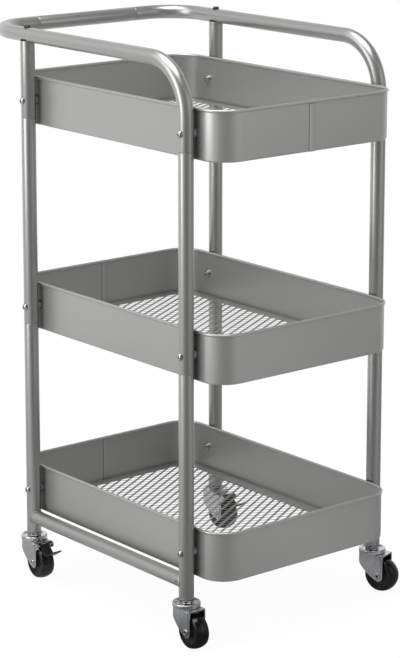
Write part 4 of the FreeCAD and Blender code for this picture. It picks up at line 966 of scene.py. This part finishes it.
class TROLLEY_OT_fasteners(bpy.types.Operator):
    """Screws, spacers, washers and nuts of the baskets, and the screws of the handle"""
    bl_idname = "trolley.fasteners"
    bl_label = "Fasteners"

    def execute(self, context):
        sizes = settings()[0]
        screws, spacers, washers, nuts = [], [], [], []
        for corner, (side_x, side_y) in SIDES.items():
            axis = post_axis(corner)
            for tier in TIERS:
                spot = axis + screw_height(tier, sizes) * UP
                out = side_y * DEEP
                wall = spot - out * (sizes.tube / 2 + sizes.spacer)
                inside = wall - out * sizes.sheet
                seat = inside - out * sizes.washer_thickness
                length = sizes.tube + sizes.spacer + sizes.sheet + (
                    sizes.washer_thickness + sizes.nut_height + sizes.screw_end)
                screws.append(headed_screw(spot + out * sizes.tube / 2, out, sizes, length))
                spacers.append(self.spacer(spot, out, sizes))
                washers.append(skin(turned(rounded([
                    (sizes.screw / 2, 0, 0), (sizes.washer / 2, 0, 0.2 * MM),
                    (sizes.washer / 2, sizes.washer_thickness, 0.3 * MM),
                    (sizes.screw / 2, sizes.washer_thickness, 0)]), inside, -out), True))
                nuts.append(hexagon_nut(seat, -out, sizes.nut, sizes.nut_height,
                                        sizes.screw / 2))
        make_piece("screws_basket", screws, "frame", "fastener_steel", ["basket_screws"])
        make_piece("washers_basket", washers, "frame", "fastener_steel", ["basket_washers"])
        make_piece("nuts_basket", nuts, "frame", "fastener_steel", ["basket_nuts"])
        make_piece("spacers_basket", spacers, "frame", "spacer_plastic", ["basket_spacers"])
        self.handle_screws(sizes)
        return {"FINISHED"}

    def spacer(self, spot, out, sizes):
        """Short round spacer with one end hollowed to the post: its length at a turn is the
        square root of the post's radius squared less the reach across squared."""
        angle = np.linspace(0, TURN, 48, endpoint=False)
        radius, far = sizes.spacer_width / 2, sizes.tube / 2 + sizes.spacer
        edge = 0.5 * MM
        rows = []
        for reach, level in ((sizes.screw / 2, far), (radius - edge, far),
                             (radius - 0.3 * edge, far - 0.3 * edge), (radius, far - edge),
                             (radius, None), (sizes.screw / 2, None)):
            across = reach * np.cos(angle)
            if level is None:
                level = np.sqrt((sizes.tube / 2 + 0.05 * MM) ** 2 - across ** 2)
            rows.append(spot + across[:, None] * RIGHT + reach * np.sin(angle)[:, None] * UP
                        - np.broadcast_to(level, angle.shape)[:, None] * out)
        return skin(np.array(rows), True)

    def handle_screws(self, sizes):
        """Screw down through each handle rail into its short post."""
        low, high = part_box("handle_screws")
        rail = middle_of("push_bar")[2] + sizes.tube / 2
        screws = [headed_screw(post_axis(side + "_left") + rail * UP, UP, sizes, rail - low.z)
                  for side in ("front", "back")]
        make_piece("screws_handle", screws, "frame", "fastener_steel",
                   ["handle_screws"], finish="pedal_black")


def softened(node, width, body, slot, crease=40.0):
    """Copy of a CAD node with its corners joined, its flat faces whole and its edges
    rounded."""
    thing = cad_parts[node]
    mesh = bpy.data.meshes.new("soft_" + node)
    tidy = bmesh.new()
    tidy.from_mesh(thing.data)
    tidy.transform(thing.matrix_world)
    bmesh.ops.remove_doubles(tidy, verts=tidy.verts, dist=MM * 0.001)
    bmesh.ops.dissolve_limit(tidy, angle_limit=math.radians(0.8), verts=tidy.verts,
                             edges=tidy.edges)
    bmesh.ops.recalc_face_normals(tidy, faces=tidy.faces)
    tidy.to_mesh(mesh)
    tidy.free()
    mesh.shade_smooth()
    mesh.set_sharp_from_angle(angle=math.radians(crease))
    mesh.materials.clear()
    mesh.materials.append(FINISHES[slot])
    piece = bpy.data.objects.new("soft_" + node, mesh)
    bpy.context.scene.collection.objects.link(piece)
    edge = piece.modifiers.new("rounded edges", "BEVEL")
    edge.width = width
    edge.segments = 2
    edge.limit_method = "ANGLE"
    edge.angle_limit = math.radians(crease)
    edge.harden_normals = True
    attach(piece, body)
    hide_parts(node)
    return piece


class TROLLEY_OT_castors(bpy.types.Operator):
    """Forks, raceways, stems, axles, wheels and pedals of the four castors"""
    bl_idname = "trolley.castors"
    bl_label = "Castors"

    def execute(self, context):
        sizes = settings()[0]
        for corner in SIDES:
            prefix = "castor_%s_" % corner
            self.swivel(corner, prefix, sizes)
            self.wheel(corner, prefix, sizes)
            softened(prefix + "fork", 0.6 * MM, "swivel_" + corner, "castor_zinc")
            if prefix + "pedal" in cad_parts:
                softened(prefix + "pedal", 0.4 * MM, "pedal_" + corner, "pedal_black")
                softened(prefix + "pedal_pin", 0.3 * MM, "swivel_" + corner, "fastener_steel")
        self.nuts(sizes)
        return {"FINISHED"}

    def swivel(self, corner, prefix, sizes):
        """Dished raceway over the fork and the headed stem through both."""
        low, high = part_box(prefix + "raceway")
        axis = post_axis(corner)
        radius, top = (high.x - low.x) / 2, high.z
        stem_low, stem_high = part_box(prefix + "stem")
        stem = sizes.stem / 2
        skirt, bevel = radius - sizes.skirt, sizes.race_bevel
        dish = top - sizes.dish
        race = top - sizes.race
        outline = rounded([
            (stem, race, 0), (skirt, race, 0.3 * MM), (skirt, low.z, 0.3 * MM),
            (radius, low.z, 0.5 * MM), (radius, top, bevel),
            (skirt - bevel, top, 0.5 * MM), (skirt - 2 * bevel, dish, 0.5 * MM),
            (stem, dish, 0)])
        make_piece("race_" + corner, [skin(turned(outline, axis, segments=72), True)],
                   "frame", "castor_zinc", [prefix + "raceway"])
        head = (stem_high.x - stem_low.x) / 2
        neck = stem_low.z + sizes.stem_head
        outline = rounded([
            (0, stem_low.z, 0), (head, stem_low.z, 0.6 * MM), (head, neck, 0.4 * MM),
            (stem, neck, 0), (stem, stem_high.z, 0.8 * MM), (0, stem_high.z, 0)])
        make_piece("stem_" + corner, [skin(turned(outline, axis))],
                   "frame", "fastener_steel", [prefix + "stem"])

    def wheel(self, corner, prefix, sizes):
        """Crowned tyre, ribbed core and hollow rivet about the wheel's axis."""
        hub = middle_of(prefix + "tyre")
        post = post_axis(corner)
        trail = (hub - post) * (1, 1, 0)
        along = np.cross(UP, trail / np.linalg.norm(trail))
        low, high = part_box(prefix + "tyre")
        radius, half = (high.z - low.z) / 2, sizes.tyre / 2
        bore = radius - sizes.tyre_depth
        crown = np.linspace(-1, 1, 17)
        flat = half - 1.6 * MM
        tread = np.stack([radius - sizes.crown * crown ** 2, flat * crown], axis=-1)
        edge = radius - sizes.crown
        # The shoulder is a quarter of an ellipse from the crown's end to the tyre's side.
        turn = np.linspace(0, QUARTER, 7)[1:, None]
        upper = np.concatenate([edge - sizes.shoulder * (1 - np.cos(turn)),
                                flat + (half - flat) * np.sin(turn)], axis=1)
        lower = upper[::-1] * (1, -1)
        outline = np.concatenate([
            [(bore, -half + 0.2 * MM), (bore + 0.4 * MM, -half)], lower, tread, upper,
            [(bore + 0.4 * MM, half), (bore, half - 0.2 * MM)]])
        make_piece("tyre_" + corner, [skin(turned(outline, hub, along, 96), True)],
                   "wheel_" + corner, "tyre_rubber",
                   [prefix + "tyre"])
        rim, web = half - sizes.core_inset, half - sizes.core_inset - sizes.core_dish
        hub_half = sizes.hub_half
        inner, hub_radius = bore - sizes.core_rim, sizes.hub / 2
        axle = sizes.axle / 2
        right = [(bore, rim, 0.4 * MM), (inner, rim, 0.5 * MM), (inner - 0.6 * MM, web, 0.8 * MM),
                 (hub_radius + 0.5 * MM, web, 0.8 * MM), (hub_radius, hub_half, 0.5 * MM),
                 (axle + 0.06 * MM, hub_half, 0.2 * MM)]
        left = [(r, -h, e) for r, h, e in right[::-1]]
        outline = rounded(left + right, steps=6)
        make_piece("core_" + corner, [skin(turned(outline, hub, along, 96), True)],
                   "wheel_" + corner, "wheel_plastic",
                   [prefix + "wheel"])
        end, head, hollow = sizes.rivet_end, sizes.rivet_head / 2, sizes.rivet_bore / 2
        grip = end - sizes.rivet_height
        right = [(axle, grip, 0), (head, grip, 0.3 * MM), (head, end, 0.8 * MM),
                 (hollow + 0.5 * MM, end, 0.4 * MM), (hollow, end - 0.7 * MM, 0)]
        left = [(r, -h, e) for r, h, e in right[::-1]]
        outline = rounded(left + right, steps=6)
        make_piece("rivet_" + corner, [skin(turned(outline, hub, along, 48), True)],
                   "swivel_" + corner, "fastener_steel",
                   [prefix + "axle"])

    def nuts(self, sizes):
        """Hexagon nut on each stem, under the post."""
        low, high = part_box("castor_nuts")
        skins = [hexagon_nut(post_axis(corner) + low.z * UP, UP, sizes.big_nut,
                             high.z - low.z, sizes.stem / 2) for corner in SIDES]
        make_piece("nuts_castor", skins, "frame", "fastener_steel", ["castor_nuts"])


class TROLLEY_PT_panel(bpy.types.Panel):
    """Sizes, colours and pieces of the trolley"""
    bl_idname = "TROLLEY_PT_panel"
    bl_label = "Trolley"
    bl_space_type = "VIEW_3D"
    bl_region_type = "UI"
    bl_category = "Trolley"

    def draw(self, context):
        for group in settings():
            box = self.layout.box()
            for name in group.__annotations__:
                box.prop(group, name)
        for operator in OPERATORS:
            self.layout.operator(operator.bl_idname)


OPERATORS = (
    TROLLEY_OT_stage,
    TROLLEY_OT_carried,
    TROLLEY_OT_tubes,
    TROLLEY_OT_basket_walls,
    TROLLEY_OT_basket_floors,
    TROLLEY_OT_fasteners,
    TROLLEY_OT_castors,
)
CLASSES = (TrolleyColours, TrolleySizes, *OPERATORS, TROLLEY_PT_panel)


def register():
    for kind in CLASSES:
        bpy.utils.register_class(kind)
    bpy.types.Scene.trolley_sizes = PointerProperty(type=TrolleySizes)
    bpy.types.Scene.trolley_colours = PointerProperty(type=TrolleyColours)


def unregister():
    del bpy.types.Scene.trolley_colours
    del bpy.types.Scene.trolley_sizes
    for kind in reversed(CLASSES):
        bpy.utils.unregister_class(kind)


def main():
    """Make the whole trolley."""
    register()
    make_finishes(bpy.context.scene.trolley_colours)
    bpy.ops.trolley.stage()
    bpy.ops.trolley.carried()
    bpy.ops.trolley.tubes()
    bpy.ops.trolley.basket_walls()
    bpy.ops.trolley.basket_floors()
    bpy.ops.trolley.fasteners()
    bpy.ops.trolley.castors()


if __name__ == "__main__":
    main()
